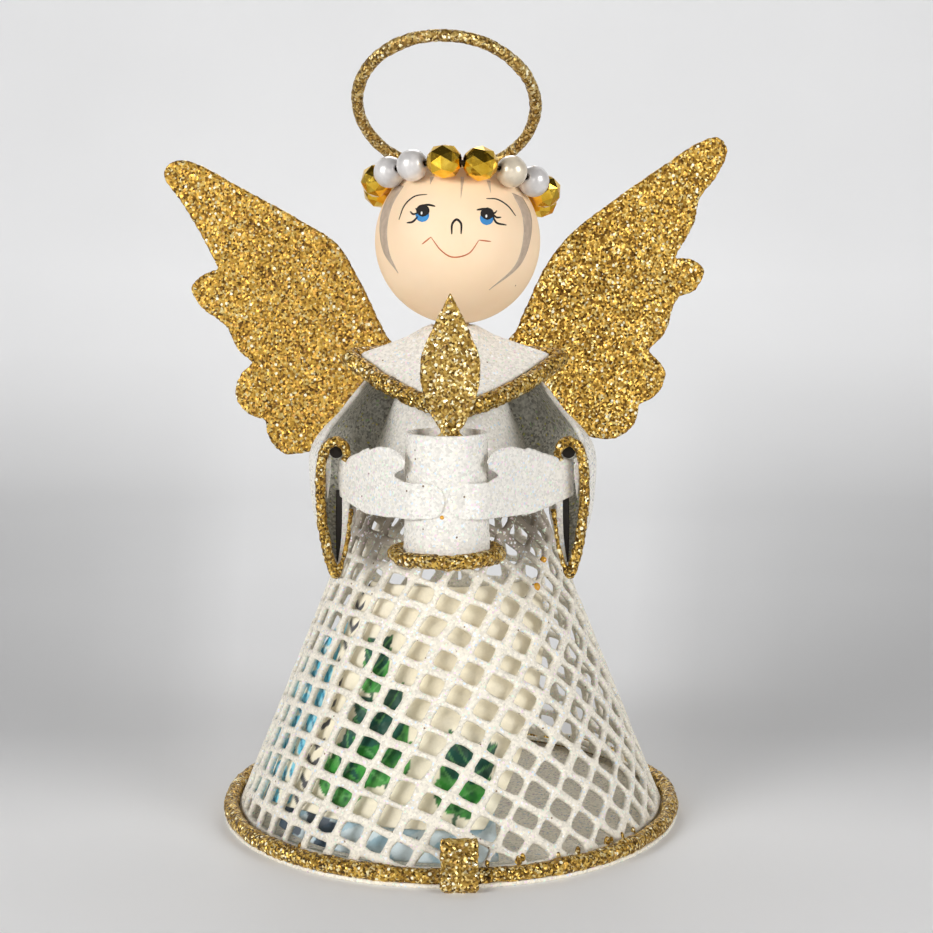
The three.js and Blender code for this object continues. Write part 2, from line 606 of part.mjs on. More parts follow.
function buildSleeve(label, side) {
  const guides = sleeveGuides(side);
  const grid = Array.from({ length: SLEEVE_ROWS + 1 }, (_, i) => {
    const section = guides.map((guide) => guide.getPoint(i / SLEEVE_ROWS));
    return new THREE.CatmullRomCurve3(section, false, 'centripetal').getPoints(SLEEVE_COLUMNS);
  });
  add(`sleeve_${label}`, mirrorX(sheet(grid, SHEET), side), WHITE_GLITTER).position.x = SLEEVE_SHIFT;
  const path = [...CUFF_CURL, ...CUFF_OUTER, CUFF_TIP, ...CUFF_INNER]
    .map(([x, z]) => new THREE.Vector3(x, CUFF_DEPTH - CUFF_EDGING_RADIUS, z));
  const edging = bar(new THREE.CatmullRomCurve3(path, false, 'centripetal'), CUFF_EDGING_RADIUS,
    EDGING_STEPS, WIRE_SIDES);
  add(`cuff_edging_${label}`, mirrorX(edging, side), GOLD_GLITTER).position.set(SLEEVE_SHIFT, 0, CANDLE_FOOT);
}

function buildCandle() {
  const candle = new THREE.Group();
  candle.position.set(CANDLE_X, CANDLE_Y, 0);
  angel.add(candle);
  const top = CANDLE_FOOT + CANDLE_HEIGHT;
  add('candle_tube', ring([[CANDLE_BOTTOM_RADIUS - SHEET, CANDLE_FOOT], [CANDLE_BOTTOM_RADIUS, CANDLE_FOOT],
    [CANDLE_TOP_RADIUS, top], [CANDLE_TOP_RADIUS - SHEET, top]], SMALL_SEGMENTS), WHITE_GLITTER, candle);
  add('candle_tray', turned([[0, TRAY_HEIGHT], [TRAY_RADIUS + TRAY_BEAD_RADIUS, TRAY_HEIGHT],
    [TRAY_RADIUS + TRAY_BEAD_RADIUS, CANDLE_FOOT], [0, CANDLE_FOOT]], SMALL_SEGMENTS), WHITE_GLITTER, candle);
  add('tray_edging', ring(beadProfile(TRAY_RADIUS, TRAY_BEAD_RADIUS, TRAY_BEAD_SINK, CANDLE_FOOT),
    SMALL_SEGMENTS), GOLD_GLITTER, candle);

  const foot = top - FLAME_TONGUE;
  const inside = CANDLE_TOP_RADIUS - SHEET - GAP;
  const shape = new THREE.Shape();
  shape.moveTo(-inside, foot);
  shape.lineTo(inside, foot);
  shape.lineTo(inside, foot + FLAME_TONGUE / 2);
  shape.lineTo(FLAME_FOOT_HALF_WIDTH, top - GAP);
  const widest = top + FLAME_WIDEST_AT * FLAME_HEIGHT;
  const taper = top + FLAME_TAPER_AT * FLAME_HEIGHT;
  const spots = (points) => points.map(([x, z]) => new THREE.Vector2(x * FLAME_HALF_WIDTH, z));
  shape.splineThru(spots([[1, widest], [FLAME_TAPER, taper], [0, top + FLAME_HEIGHT]]));
  shape.splineThru(spots([[-FLAME_TAPER, taper], [-1, widest]]));
  shape.lineTo(-FLAME_FOOT_HALF_WIDTH, top - GAP);
  shape.lineTo(-inside, foot + FLAME_TONGUE / 2);
  add('flame', closed(plateFrom(shape, SHEET).translate(0, SHEET / 2, 0)), GOLD_GLITTER, candle);
}

function buildWing(name, side, parent) {
  const spot = ([out, up]) => new THREE.Vector2(side * out, up);
  const shape = new THREE.Shape();
  shape.moveTo(...spot(WING_ROOT[0]).toArray());
  WING_ROOT.slice(1).forEach((point) => shape.lineTo(...spot(point).toArray()));
  shape.splineThru(WING_LEADING_EDGE.map(spot));
  shape.splineThru(WING_SECOND_LOBE.map(spot));
  shape.splineThru(WING_THIRD_LOBE.map(spot));
  shape.splineThru(WING_FOURTH_LOBE.map(spot));
  const seat = bodiceRadius(WING_SEAT_HEIGHT) + GAP + WING_THICKNESS;
  const plate = plateFrom(shape, WING_THICKNESS).translate(0, seat, -WING_PIVOT_HEIGHT);
  add(name, closed(plate.rotateZ(side * WING_SWEEP)), GOLD_GLITTER, parent);
}

function buildWings() {
  const wings = new THREE.Group();
  wings.position.z = WING_PIVOT_HEIGHT;
  wings.rotation.y = WING_ROLL;
  angel.add(wings);
  buildWing('wing_left', -1, wings);
  buildWing('wing_right', 1, wings);
}

// Lowest point of the halo and the line from it to the middle of the head, in the head's frame
function haloStem() {
  const low = new THREE.Vector3(0, HALO_RADIUS, 0).applyAxisAngle(X_AXIS, -HALO_TILT).add(HALO_OFFSET);
  const inward = low.clone().negate().normalize();
  return { low, inward };
}

function rod(from, to, radius) {
  return bar(new THREE.LineCurve3(from, to), radius, 1, STEM_SIDES);
}

function buildHead(neck) {
  const head = new THREE.Group();
  head.position.z = HEAD_ABOVE_BODICE;
  neck.add(head);
  const ball = toManifold(new THREE.SphereGeometry(HEAD_RADIUS, HEAD_SEGMENTS, HEAD_SEGMENTS / 2)
    .rotateX(Math.PI / 2));
  const boreTop = PEG_IN_HEAD - HEAD_RADIUS + GAP;
  const bore = turned([[0, -2 * HEAD_RADIUS], [PEG_BORE_RADIUS, -2 * HEAD_RADIUS],
    [PEG_BORE_RADIUS, boreTop], [0, boreTop]], SMALL_SEGMENTS);
  const { low, inward } = haloStem();
  const socketEnd = inward.clone().multiplyScalar(-(HEAD_RADIUS - STEM_DEPTH - GAP));
  const stemEnd = inward.clone().multiplyScalar(-(HEAD_RADIUS - STEM_DEPTH));
  const socket = rod(low, socketEnd, STEM_RADIUS + GAP);
  add('head', fromManifold(ball.subtract(toManifold(bore)).subtract(toManifold(socket))), WOOD, head);

  const loop = new THREE.TorusGeometry(HALO_RADIUS, HALO_WIRE_RADIUS, ROPE_SIDES, HALO_SEGMENTS);
  loop.rotateX(-HALO_TILT).translate(...HALO_OFFSET.toArray());
  const halo = toManifold(loop).add(toManifold(rod(low, stemEnd, STEM_RADIUS)));
  add('halo', fromManifold(halo), GOLD_GLITTER, head);
  buildCrown(head);
}

function pearlProfile() {
  const radius = BEAD_DIAMETER / 2;
  const start = Math.acos(BEAD_BORE_RADIUS / radius);
  return Array.from({ length: RIM_POINTS }, (_, k) => {
    const angle = -start + 2 * start * k / (RIM_POINTS - 1);
    return [radius * Math.cos(angle), radius * Math.sin(angle)];
  });
}

function facetProfile() {
  const radius = BEAD_DIAMETER / 2;
  const end = FACET_END * radius;
  const shoulder = FACET_SHOULDER * radius;
  return [[BEAD_BORE_RADIUS, -end], [shoulder, -shoulder], [radius, 0], [shoulder, shoulder],
    [BEAD_BORE_RADIUS, end]];
}

function buildCrown(head) {
  const seat = HEAD_RADIUS + BEAD_DIAMETER / 2 + BEAD_SEAT;
  const radius = seat * Math.cos(CROWN_LATITUDE);
  const count = Math.floor(Math.PI / Math.asin((BEAD_DIAMETER + BEAD_GAP) / (2 * radius)));
  const crown = new THREE.Group();
  crown.rotation.x = -CROWN_TILT;
  head.add(crown);
  const level = new THREE.Group();
  level.position.z = seat * Math.sin(CROWN_LATITUDE);
  crown.add(level);
  const wire = new THREE.TorusGeometry(radius, CROWN_WIRE_RADIUS, WIRE_SIDES, count * WIRE_STEPS_PER_BEAD);
  add('crown_wire', closed(wire), WIRE, level);
  for (let k = 0; k < count; k += 1) {
    const golden = Math.floor((k + 1) / 2) % 2 === 0;
    const name = `${golden ? 'gold_bead' : 'pearl'}_${String(k + 1).padStart(2, '0')}`;
    const body = golden ? ring(facetProfile(), FACETS) : ring(pearlProfile(), PEARL_SEGMENTS);
    const bead = add(name, closed(body.rotateY(Math.PI / 2)), golden ? GOLD_BEAD : PEARL);
    const turn = 2 * Math.PI * (k + 0.5) / count;
    const place = new THREE.Group();
    place.rotation.z = turn;
    level.add(place);
    bead.position.set(0, -radius, 0);
    place.add(bead);
  }
}

buildBase();
buildTongues();
buildSkirt();
buildPaper();
buildBodice();
buildCollar();
[['left', -1], ['right', 1]].forEach(([label, side]) => {
  buildSleeve(label, side);
  buildArm(`arm_${label}`, side);
});
buildCandle();
buildWings();
buildNeck();

export default angel;
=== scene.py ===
# Looks of the angel tree topper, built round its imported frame. Sizes here are millimetres, meshes are metres.
import math

import bmesh
import bpy
import numpy as np
from mathutils import Matrix, Vector


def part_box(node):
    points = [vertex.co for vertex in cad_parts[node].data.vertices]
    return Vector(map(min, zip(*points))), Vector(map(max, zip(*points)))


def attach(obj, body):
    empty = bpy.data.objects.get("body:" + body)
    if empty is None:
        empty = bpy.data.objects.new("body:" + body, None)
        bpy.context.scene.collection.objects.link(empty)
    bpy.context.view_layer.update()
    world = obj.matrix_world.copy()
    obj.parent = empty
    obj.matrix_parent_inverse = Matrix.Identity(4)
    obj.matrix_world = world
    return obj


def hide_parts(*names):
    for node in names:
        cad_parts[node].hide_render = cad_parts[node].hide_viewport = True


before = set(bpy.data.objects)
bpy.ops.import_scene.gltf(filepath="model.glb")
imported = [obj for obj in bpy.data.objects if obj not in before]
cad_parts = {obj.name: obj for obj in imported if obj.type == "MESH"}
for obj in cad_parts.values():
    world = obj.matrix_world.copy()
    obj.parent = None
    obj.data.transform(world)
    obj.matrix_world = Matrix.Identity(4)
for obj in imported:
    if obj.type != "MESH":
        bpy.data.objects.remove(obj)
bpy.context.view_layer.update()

MM = 0.001
WELD = 1e-4
NOISE_SIZE = 64
QUARTER = math.pi / 2
SIDES = (("left", -1), ("right", 1))

# Camera
CAMERA_PLACE = (1.97, -203, 70.5)
CAMERA_PITCH = math.radians(7.7)
CAMERA_LENS = 64.05
SENSOR = 36

# Skirt's cone, bodice and base
HEM_RADIUS = 26.45
HEM_HEIGHT = 1.1
SHOULDER_RADIUS = 3.97
BODICE_TOP = 56.45
BODICE_BOTTOM = 42.3
BODICE_BEVEL = 0.4
SHEET = 0.5
GAP = 0.3
SLOPE = (HEM_RADIUS - SHOULDER_RADIUS) / (BODICE_TOP - HEM_HEIGHT)
HALF_ANGLE = math.atan(SLOPE)
CONE_SIN = math.sin(HALF_ANGLE)
CONE_COS = math.cos(HALF_ANGLE)
APEX_HEIGHT = HEM_HEIGHT + HEM_RADIUS / SLOPE
HEM_BAND = (HEM_HEIGHT + 0.02, HEM_HEIGHT + 0.45)
SEAM_HALF = 0.85
SEAM_HEIGHTS = (HEM_HEIGHT + 0.1, BODICE_BOTTOM + 4)
SEAM_PROUD = 0.08
SEAM_DEPTH = -0.75
RIM_RADIUS = 27.58
RIM_HEIGHT = 1.1
RIM_BEAD = 0.95
RIM_FLAT = 0.68
PLATE_RADIUS = 28.48
PLATE_ROUND = 0.2
PLATE_RINGS = (0, 9, 18, 24)
CREASE_HALF = 1.6
CREASE_HEIGHTS = (0.07, 0.43)
CREASE_DEPTHS = (-29.45, -28.1)
TAB_ASIDE = 0.12
TAB_WAIST = ((0, 0.78), (0.3, 0.92), (0.7, 1), (1.3, 1), (2, 0.95), (2.7, 0.96), (4.6, 1), (5.1, 0.92))

# Net, with its waves as height, cell and seed
NET_PITCHES = np.array([3.42, 3.1])
NET_STRAND = 0.67
NET_UNEVEN = (0.8, 1.07)
NET_THICKNESS = 0.8
NET_CHAMFER = 0.17
NET_CHAMFER_DEPTH = 0.22
NET_FALL = math.radians(23.5)
NET_LEAN = math.radians(31)
NET_TOP = 48.4
NET_HOLE_POINTS = 16
NET_SQUARENESS = 6.5
NET_BEND = 0.1
NET_BEND_REACH = 22
NET_WAVES = ((0.24, 5, 21), (0.13, 1.3, 31))
NET_SPARE_COLUMNS = 4
NET_SPARE_TURN = 0.6
NET_SEAM_GAP = 0.12
# Above this height the net's colour is part thin paint and part painted shade from the arms and candle over it
NET_THIN_PAINT_AND_SHADE_HEIGHT = 31.7
NET_THIN_PAINT_AND_SHADE_FADE = 3.6

# Drops and smears, as degrees round the skirt, height and size
NET_DROPS = ((44.7, 30.1, 0.5), (56.2, 32.8, 0.42))
HEM_SMEARS = ((17.4, 1.8, 0.5), (18.6, 2.1, 0.4), (28.3, 1.7, 0.36), (34.2, 1.75, 0.42), (44.5, 1.8, 0.45),
              (46, 1.7, 0.36), (50.5, 1.7, 0.38), (56, 1.6, 0.34), (9.4, 1.8, 0.36), (-41.2, 1.6, 0.34))
SMEAR_STRETCH = (0.8, 1.4)
CANDLE_DROP = (-0.7, -24.2, 40.7)
CANDLE_DROP_SIZE = 0.25
DROP_SINK = 0.15

# Paper slip, and the lower turn of its roll
PAPER_DEPTHS = (1.2, 1.9)
PAPER_DEPTH_TURNS = (math.radians(-60), math.radians(-15))
PAPER_THICKNESS = 0.2
PAPER_BOTTOM = 4.7
PAPER_TOP = 30.5
PAPER_CORNER = 1
PAPER_LEFT_LOW = 8
PAPER_LEFT_DROP = 2.3
PAPER_LEFT = math.radians(-104)
PAPER_FOLD = math.radians(-46)
PAPER_RIGHT_LOW = math.radians(10)
PAPER_RIGHT = math.radians(58)
PAPER_ROWS = 130
PAPER_COLUMNS = 300
ROLL_DEPTH = 2.9
ROLL_HEIGHTS = np.linspace(1, 6.2, 24)[:, None]
ROLL_TURNS = np.radians(np.linspace(-62, 14, 150))
PRINT_HEIGHT = 14
PRINT_LOZENGES = ((-31.4, 1.6, 0.4), (-27.8, 1.5, 1.7), (-24, 1.8, 0.4), (-20.7, 1, 1.7))
PRINT_SPRIGS = ((-14.5, 6.2, 62, 1.0), (-7.2, 8.6, 108, 1.15), (0.6, 5.8, 74, 0.95), (-11.4, 18.2, 96, 0.7))
CHEVRON_MIDDLE = -18.2
LEAF_LEAN = math.radians(48)
LEAF_LENGTH = 4.6
LEAF_HALF = 1.35

# Head, crown and halo
HEAD_RADIUS = 10
HEAD_ABOVE_BODICE = 14.2
NECK_LEAN = math.radians(3.6)
BORE_RADIUS = 2.4
BORE_TOP = -3.7
HEAD_PLACE = (Matrix.Translation((0, 0, BODICE_TOP)) @ Matrix.Rotation(NECK_LEAN, 4, "Y")
              @ Matrix.Translation((0, 0, HEAD_ABOVE_BODICE)))
HALO_RADIUS = 10.85
HALO_WIRE = 0.72
HALO_STEPS = 420
HALO_PLACE = (HEAD_PLACE @ Matrix.Translation((-2.4, 3, 16.2))
              @ Matrix.Rotation(math.radians(-43), 4, "X"))
STEM_RADIUS = 0.55
STEM_SINK = 3
CROWN_RAISE = math.radians(5)
CROWN_DROP = 0.35
CROWN_WIRE = 0.3
CROWN_CLEAR = 0.04
CREAM_PLACE = 1
PEARL_RADIUS = 1.86
PEARL_BORE = 0.38
BEAD_RADIUS = 2.05
BEAD_BEVEL = 0.06
BEAD_SIDES = 8
BEAD_TURN = 0.4
BEAD_ROWS = ((-0.95, 0.4, 0), (-0.6, 0.84, 0.5), (0, 1, 0), (0.6, 0.84, 0.5), (0.95, 0.4, 0))

# Candle and its tray
CANDLE_FOOT = 35.9
CANDLE_TOP = 49.6
CANDLE_FLARE = 0.07
CANDLE_WALLS = (4.9, 4.3)
TRAY_EDGE = 5.75
TRAY_BEAD = 0.85
TRAY_SHARE = 0.9
FLAME_FOOT = 44.6
FLAME_SIDE = ((3.5, 0), (3.5, 2.5), (0.95, 5), (1.55, 5.8), (2.25, 7.1), (3, 9.2), (3.35, 11.4), (3.25, 13.1),
              (2.5, 15.3), (1.5, 17.5), (0, 20.4))
FLAME_THICKNESS = 0.5
FLAME_ASIDE = 0.42

# Arms, as distance from the candle's middle, with how far each hand thins out and each wrist is drawn in
HAND_SEAT = 5.2
HAND_REACH = (2.2, 5.0)
WRIST_BEND = 8
ARM_SHAPES = (("arm_left", 0.72, 0.77), ("arm_right", 0.93, 1.1))
ARM_FILL = ((8.7, 0), (9.2, 0.4), (9.8, 0.78), (10.9, 0.5), (12, 0.27), (13.5, 0))
ARM_FILL_HEIGHTS = (44.5, 46.5)

# Wings: outlines in each wing's own plane, out from the axis and up, from one notch to the next
WING_FRONT = 7.9
WING_THICKNESS = 0.6
WING_SWEEP = math.radians(17)
WING_ROLL = math.radians(-2.2)
WING_PIVOT = 58
WING_ROOT = ((20.9, 44.5), (12, 46), (3.2, 49.5), (3.2, 54), (6.4, 54))
WING_OUTLINES = {
    "left": (((11.2, 58.8), (14.7, 66.3), (17.4, 70.8), (21.4, 73.5), (30.6, 78.7), (37.2, 82.2), (40, 82.4),
              (41.4, 80.9), (38.7, 76.5), (36.5, 72.7), (34.2, 68.2)),
             ((34.2, 68.2), (37, 67.2), (38.4, 65.7), (37.1, 63.2), (33.7, 60.6), (31.9, 57.2), (30, 55.7)),
             ((30, 55.7), (31.9, 54.2), (32.9, 51.4), (31.3, 49), (28.7, 48)),
             ((28.7, 48), (28.4, 45.8), (26.4, 43.6), (23.3, 43.7), (20.9, 44.5))),
    "right": (((11.2, 58.8), (15.7, 67.1), (19, 70.8), (25.3, 75.1), (32.8, 79.6), (37.4, 82.2), (40.2, 82.8),
               (41.5, 81.2), (40, 77.9), (37.4, 74.9), (36.5, 71.7), (33.6, 67.3)),
              ((33.6, 67.3), (36.1, 67), (37.8, 65.6), (36.5, 63), (33.8, 61.8), (32, 57.5), (29.5, 55.3)),
              ((29.5, 55.3), (31.6, 53.1), (31.9, 51.7), (30.5, 49.3), (28, 48.2)),
              ((28, 48.2), (27.4, 45.8), (24.7, 44), (21.7, 44.2), (20.9, 44.5))),
}

# Collar
COLLAR_LIFT = 0.4
COLLAR_LIFT_REACH = (3.4, 5.4)

# Sleeves, for the right side: heights are from the candle's foot, and of the tops from the bodice's top
SLEEVE_SHIFT = 0.35
SLEEVE_TOPS = (((9.3, 0.2, -1.25), (12.65, -7.5, -5.25)), ((8.4, 1.6, -1.15), (12.1, -2, -5.25)),
               ((7.2, 3.4, -1.65), (10.2, 3, -5.45)))
SLEEVE_LOWS = (((15.2, -12.8, 11.2), (15.2, -13.6, 6.1), (14.8, -13.6, 1.6), (13.6, -13.6, -2.6)),
               ((16.4, -6.5, 10.6), (16.5, -9, 6.1), (15.6, -11, 1.6), (13.6, -12.9, -2.3)),
               ((12.8, 0.5, 10.1), (13.4, -4.5, 5.6), (13.4, -9, 1.6), (13.3, -12.6, -2.1)))
SLEEVE_INNER_TOP = ((-1.65, 135), (-5.45, 130), (-10.15, 122))
SLEEVE_INNER_LOW = ((11.6, -5, 6.1), (11.5, -13.2, 3.1), (13, -13.6, -2.5))
SLEEVE_ROWS = 60
SLEEVE_COLUMNS = 44

# Cuffs, as x and height from the candle's foot, at one depth
CUFF_DEPTH = -13.9
CUFF_LINE = ((12.5, 9.8), (12.1, 10.5), (12.4, 11.5), (13.25, 12.05), (14.3, 11.5), (14.95, 9.7),
             (15.15, 5.6), (14.75, 1.1), (14.1, -1.9), (13.5, -3.4), (12.85, -2.3), (12.15, 0.3), (11.6, 4.2))
CUFF_LINE_DEPTH = -14.6
CUFF_LINE_RADII = ((0, 0.3), (0.2, 0.6), (0.74, 0.6), (0.84, 0.27), (1, 0.27))
# The curl's hollow, filled with a dark tube of painted shade
CURL_HOLE = (13.35, 10.75)
CURL_HOLE_DEPTHS = np.linspace(0.3, 1.4, 8)
CURL_HOLE_RADIUS = 0.8
CUFF_SHEET = 0.3
# Strips inside each cuff, as name, depth and two edge lines; the slot's dark strip is painted shade where the
# walls meet deep inside
CUFF_STRIPS = (
    ("cuff_lip", 0.1, ((14.6, 10.2), (14.6, 7.8), (14.4, 5.3)), ((13.95, 9.9), (14.05, 7.8), (14.35, 5.4))),
    ("cuff_slot", 0.6, ((13.45, 6.2), (13.55, 1.5), (13.45, -2.3)),
     ((12.7, 6.2), (12.8, 1.5), (13.25, -2.3))),
    ("cuff_fold", 0.2, ((12.7, 6.5), (12.85, 1), (13.35, -2.6)), ((11.7, 6.5), (12.2, 1), (13.0, -2.6))),
)

# Face paint, as x and z from the middle of the ball, and strokes as width and points
EYES = (("left", -4.19, 3.23), ("right", 3.27, 3.34))
PUPIL_RADIUS = 0.78
INK_STROKES = (
    (0.16, ((-6.96, 2.03), (-6.41, 3.73), (-5.28, 4.84), (-3.82, 5.15))),
    (0.16, ((3.05, 5.09), (4.3, 5.1), (5.62, 4.44), (6.64, 3.33))),
    (0.26, ((-4.6, 3.71), (-3.64, 3.93), (-2.77, 3.81))),
    (0.26, ((2.02, 3.69), (2.85, 3.86), (3.68, 3.82))),
    (0.24, ((-5.98, 1.72), (-5.31, 1.88), (-4.71, 2.53))),
    (0.22, ((-5.68, 3.06), (-5.31, 2.77), (-4.76, 2.93))),
    (0.2, ((-5.05, 3.48), (-4.83, 3.24), (-4.48, 3.35))),
    (0.24, ((3.92, 3.23), (4.39, 2.41), (5.6, 2.19))),
    (0.22, ((3.92, 3.35), (4.39, 3.0), (4.92, 3.05))),
    (0.2, ((3.85, 3.58), (4.09, 3.47), (4.38, 3.78))),
    (0.28, ((-0.67, 0.72), (-0.67, 1.93), (-0.22, 2.44), (0.3, 2.05), (0.41, 0.81))),
)
MOUTH = (((-4.05, -0.63), (-3.05, 0.26)),
         ((-3.05, 0.26), (-1.75, -1.22), (-0.45, -1.87), (1.43, -1.33), (2.51, 0.26)),
         ((2.51, 0.26), (3.91, 0.19)))
MOUTH_WIDTH = 0.16
HAIR = {"left": (((-6.71, 6.05), (-7.91, 3.65), (-8.33, 1.03), (-7.9, -1.83), (-6.7, -4.17)),
                 ((-7.8, 6.2), (-8.98, 3.9), (-9.38, 1.4), (-8.67, -1.84), (-6.75, -4.2))),
        "right": (((6.03, 6.02), (7.34, 3.64), (7.69, 1.02), (6.97, -2.3), (4.05, -5.43)),
                  ((7.42, 5.59), (8.52, 3.67), (8.65, 1.03), (7.6, -2.31), (4.1, -5.47)))}
FRINGE = (((0.14, 7.4), (0.11, 4.86)), ((-3.43, 7.2), (-3.57, 6.32)), ((3.2, 7.2), (3.54, 5.76)))
FRINGE_WIDTH = 0.42
FRINGE_TIP = 0.02
PAINT_LIFT = 0.03
PAINT_SINK = -0.05

# Glitter and lacquer
SPECK_CELL = 0.9
SPECK_WIDTH = 0.13
WHITE_BUMP = 0.06
FLAKE_LEAN = 0.12
SPARK_LEAN = 0.6
GLINT_CELL = 0.66
GLINT_WIDTH = 0.31
LACQUER = {"cloud": (1.3, 3), "grain": (0.25, 2), "height": 0.008, "Metallic": 0.25,
           "Coat_Weight": 0.7, "Coat_Roughness": 0.2}

# Colours of the glitters, in display values. The flake ramps run from dark brown to near white, partly the
# flakes' own tones and partly painted sparkle; the glint colour is a painted highlight.
PAINTED_GLINT = (255, 248, 214)
GOLD_STOPS = ((0.0, (84, 55, 10)), (0.2, (138, 96, 22)), (0.5, (190, 144, 48)), (0.8, (226, 182, 82)),
              (0.95, (246, 220, 138)), (1.0, (255, 246, 205)))
HALO_STOPS = ((0.0, (84, 60, 18)), (0.3, (136, 102, 40)), (0.6, (184, 149, 76)), (0.85, (226, 197, 122)),
              (1.0, (255, 242, 196)))
TRIM_STOPS = ((0.0, (62, 42, 8)), (0.3, (124, 90, 26)), (0.6, (184, 142, 52)), (0.85, (234, 196, 98)),
              (1.0, (255, 242, 190)))
FLAME_STOPS = ((0.0, (78, 54, 12)), (0.3, (144, 108, 38)), (0.6, (200, 160, 72)), (0.85, (242, 212, 130)),
               (1.0, (255, 248, 216)))
# Tints of the sparkle cells, clear on the paint and dull on the sleeves' inside: paler than the sheet, painted
# highlights for the flakes' glints
CLEAR_SPARKLE_TINTS = ((255, 255, 255), (255, 232, 240), (232, 244, 255), (240, 255, 234), (255, 250, 228))
DULL_SPARKLE_TINTS = ((238, 238, 150), (244, 244, 234), (200, 224, 180), (252, 242, 140))

# Stage: a floor that bends up into a wall, its greys from near to far, which are painted light and shade for
# the lamps' falloff and the figure's cast shadows, and its darker edges, which are painted shade
STAGE_FRONT = -900
STAGE_BEND = 260
STAGE_BEND_RADIUS = 240
BEND_START = 0.05
STAGE_WALL = 260
STAGE_TOP = 1200
STAGE_HALF = 1400
STAGE_TONE_START = -200
STAGE_TONE_REACH = 700
STAGE_LIGHT_AND_SHADE_TONES = ((0, 246), (0.23, 246), (0.285, 235), (0.33, 227), (0.4, 228), (0.62, 228), (0.74, 234),
               (0.82, 238), (0.88, 242), (0.93, 237), (1, 230))
# The edges' painted shade: the brightness kept by how far out a point lies, and the shade's strength from near
# to far
STAGE_EDGE_SHADE = ((0, 1), (0.4, 1), (0.55, 0.8), (0.73, 0.72), (1, 0.68))
STAGE_EDGE_SHADE_SHARES = ((0.27, 0), (0.33, 0.7), (0.5, 0.85), (0.65, 0.65), (0.76, 0.3), (0.83, 0))
STAGE_FAN = 0.3
STAGE_FAN_START = -203
STAGE_MIDDLE = -4

# Room's light by height, and lamps as name, place, target, size and power
ROOM_LOW = (0.55, 0.55, 0.56, 1)
ROOM_HIGH = (0.05, 0.05, 0.055, 1)
ROOM_REACH = 0.6
LAMPS = (("key", (-540, -490, 300), (0, 0, 45), (320, 320), 3.6),
         ("fill", (570, -470, 270), (0, 0, 45), (320, 320), 2.85),
         ("front", (0, -800, 200), (0, 0, 50), (260, 260), 0.4),
         ("wall", (0, 300, 420), (0, 500, 100), (900, 120), 0.5),
         ("glow", (0, 200, 175), (0, 200, 0), (60, 260), 0.12))


def linear(*colour):
    """A colour given in display values from 0 to 255, as the renderer's linear colour."""
    values = [channel / 255 for channel in colour]
    return (*[v / 12.92 if v <= 0.04045 else ((v + 0.055) / 1.055) ** 2.4 for v in values], 1)


def skirt_radius(height):
    return HEM_RADIUS - (height - HEM_HEIGHT) * SLOPE


def bodice_radius(height):
    return skirt_radius(height) + (GAP + SHEET) / CONE_COS


def eased(share):
    return share * share * (3 - 2 * share)


def around(turn, radius, height):
    """Points at angles round Z from the front, with their radii and heights."""
    return np.stack(np.broadcast_arrays(radius * np.sin(turn), -radius * np.cos(turn), height), axis=-1)


def arc(middle, sizes, start, end, count, whole=False):
    """Points of a round profile, as radius and height."""
    angles = np.linspace(start, end, count, endpoint=not whole)
    return np.column_stack([np.cos(angles), np.sin(angles)]) * sizes + middle


def lattice_noise(points, cell, seed):
    """Smooth random values from -1 to 1 at points, over a lattice of the given cell."""
    values = np.random.default_rng(seed).uniform(-1, 1, (NOISE_SIZE,) * 3)
    place = np.asarray(points, float) / cell
    base = np.floor(place).astype(int)
    part = eased(place - base)
    total = np.zeros(len(place))
    for corner in np.ndindex(2, 2, 2):
        weight = np.prod(np.where(corner, part, 1 - part), axis=1)
        total += weight * values[tuple(((base + corner) % NOISE_SIZE).T)]
    return total


def curve_point(points, share):
    """A point of the centripetal curve through points, as far along as share says, from 0 to 1."""
    last = len(points) - 1
    place = min(share, 1) * last
    k = min(int(place), last - 1)
    part = place - k
    b, c = points[k], points[k + 1]
    a = points[k - 1] if k > 0 else 2 * b - c
    d = points[k + 2] if k + 2 <= last else 2 * c - b
    first, middle, final = (max(np.linalg.norm(q - p) ** 0.5, WELD) for p, q in ((a, b), (b, c), (c, d)))
    leave = ((b - a) / first - (c - a) / (first + middle) + (c - b) / middle) * middle
    arrive = ((c - b) / middle - (d - b) / (middle + final) + (d - c) / final) * middle
    cubic = 2 * b - 2 * c + leave + arrive
    square = -3 * b + 3 * c - 2 * leave - arrive
    return ((cubic * part + square) * part + leave) * part + b


def curve(points, steps):
    points = np.asarray(points, float)
    return np.array([curve_point(points, k / steps) for k in range(steps + 1)])


# Meshes

def write_back(body, mesh, smooth=True):
    """Puts an edited body in its mesh, with the faces turned outward."""
    bmesh.ops.recalc_face_normals(body, faces=body.faces)
    body.to_mesh(mesh)
    body.free()
    mesh.polygons.foreach_set("use_smooth", [smooth] * len(mesh.polygons))
    mesh.update()


def mesh_from(points, faces, looks=None, smooth=True):
    """A mesh of points in millimetres, welded, with a material number for each face."""
    mesh = bpy.data.meshes.new("mesh")
    mesh.from_pydata((np.asarray(points, float) * MM).tolist(), [], faces)
    if looks is not None:
        mesh.polygons.foreach_set("material_index", looks)
    body = bmesh.new()
    body.from_mesh(mesh)
    bmesh.ops.remove_doubles(body, verts=body.verts, dist=WELD * MM)
    write_back(body, mesh, smooth)
    return mesh


def coordinates(mesh):
    points = np.empty(len(mesh.vertices) * 3)
    mesh.vertices.foreach_get("co", points)
    return points.reshape(-1, 3) / MM


def set_coordinates(mesh, points):
    mesh.vertices.foreach_set("co", (points * MM).ravel())
    mesh.update()


def roughen(mesh, cell, height, seed, proud=0.0):
    """Moves a mesh's points in and out by a grain, and all of them out by proud."""
    points = coordinates(mesh)
    normals = np.empty(len(points) * 3)
    mesh.vertex_normals.foreach_get("vector", normals)
    grain = lattice_noise(points, cell, seed) * height + proud
    set_coordinates(mesh, points + normals.reshape(-1, 3) * grain[:, None])
    return mesh


def link(thing):
    bpy.context.scene.collection.objects.link(thing)


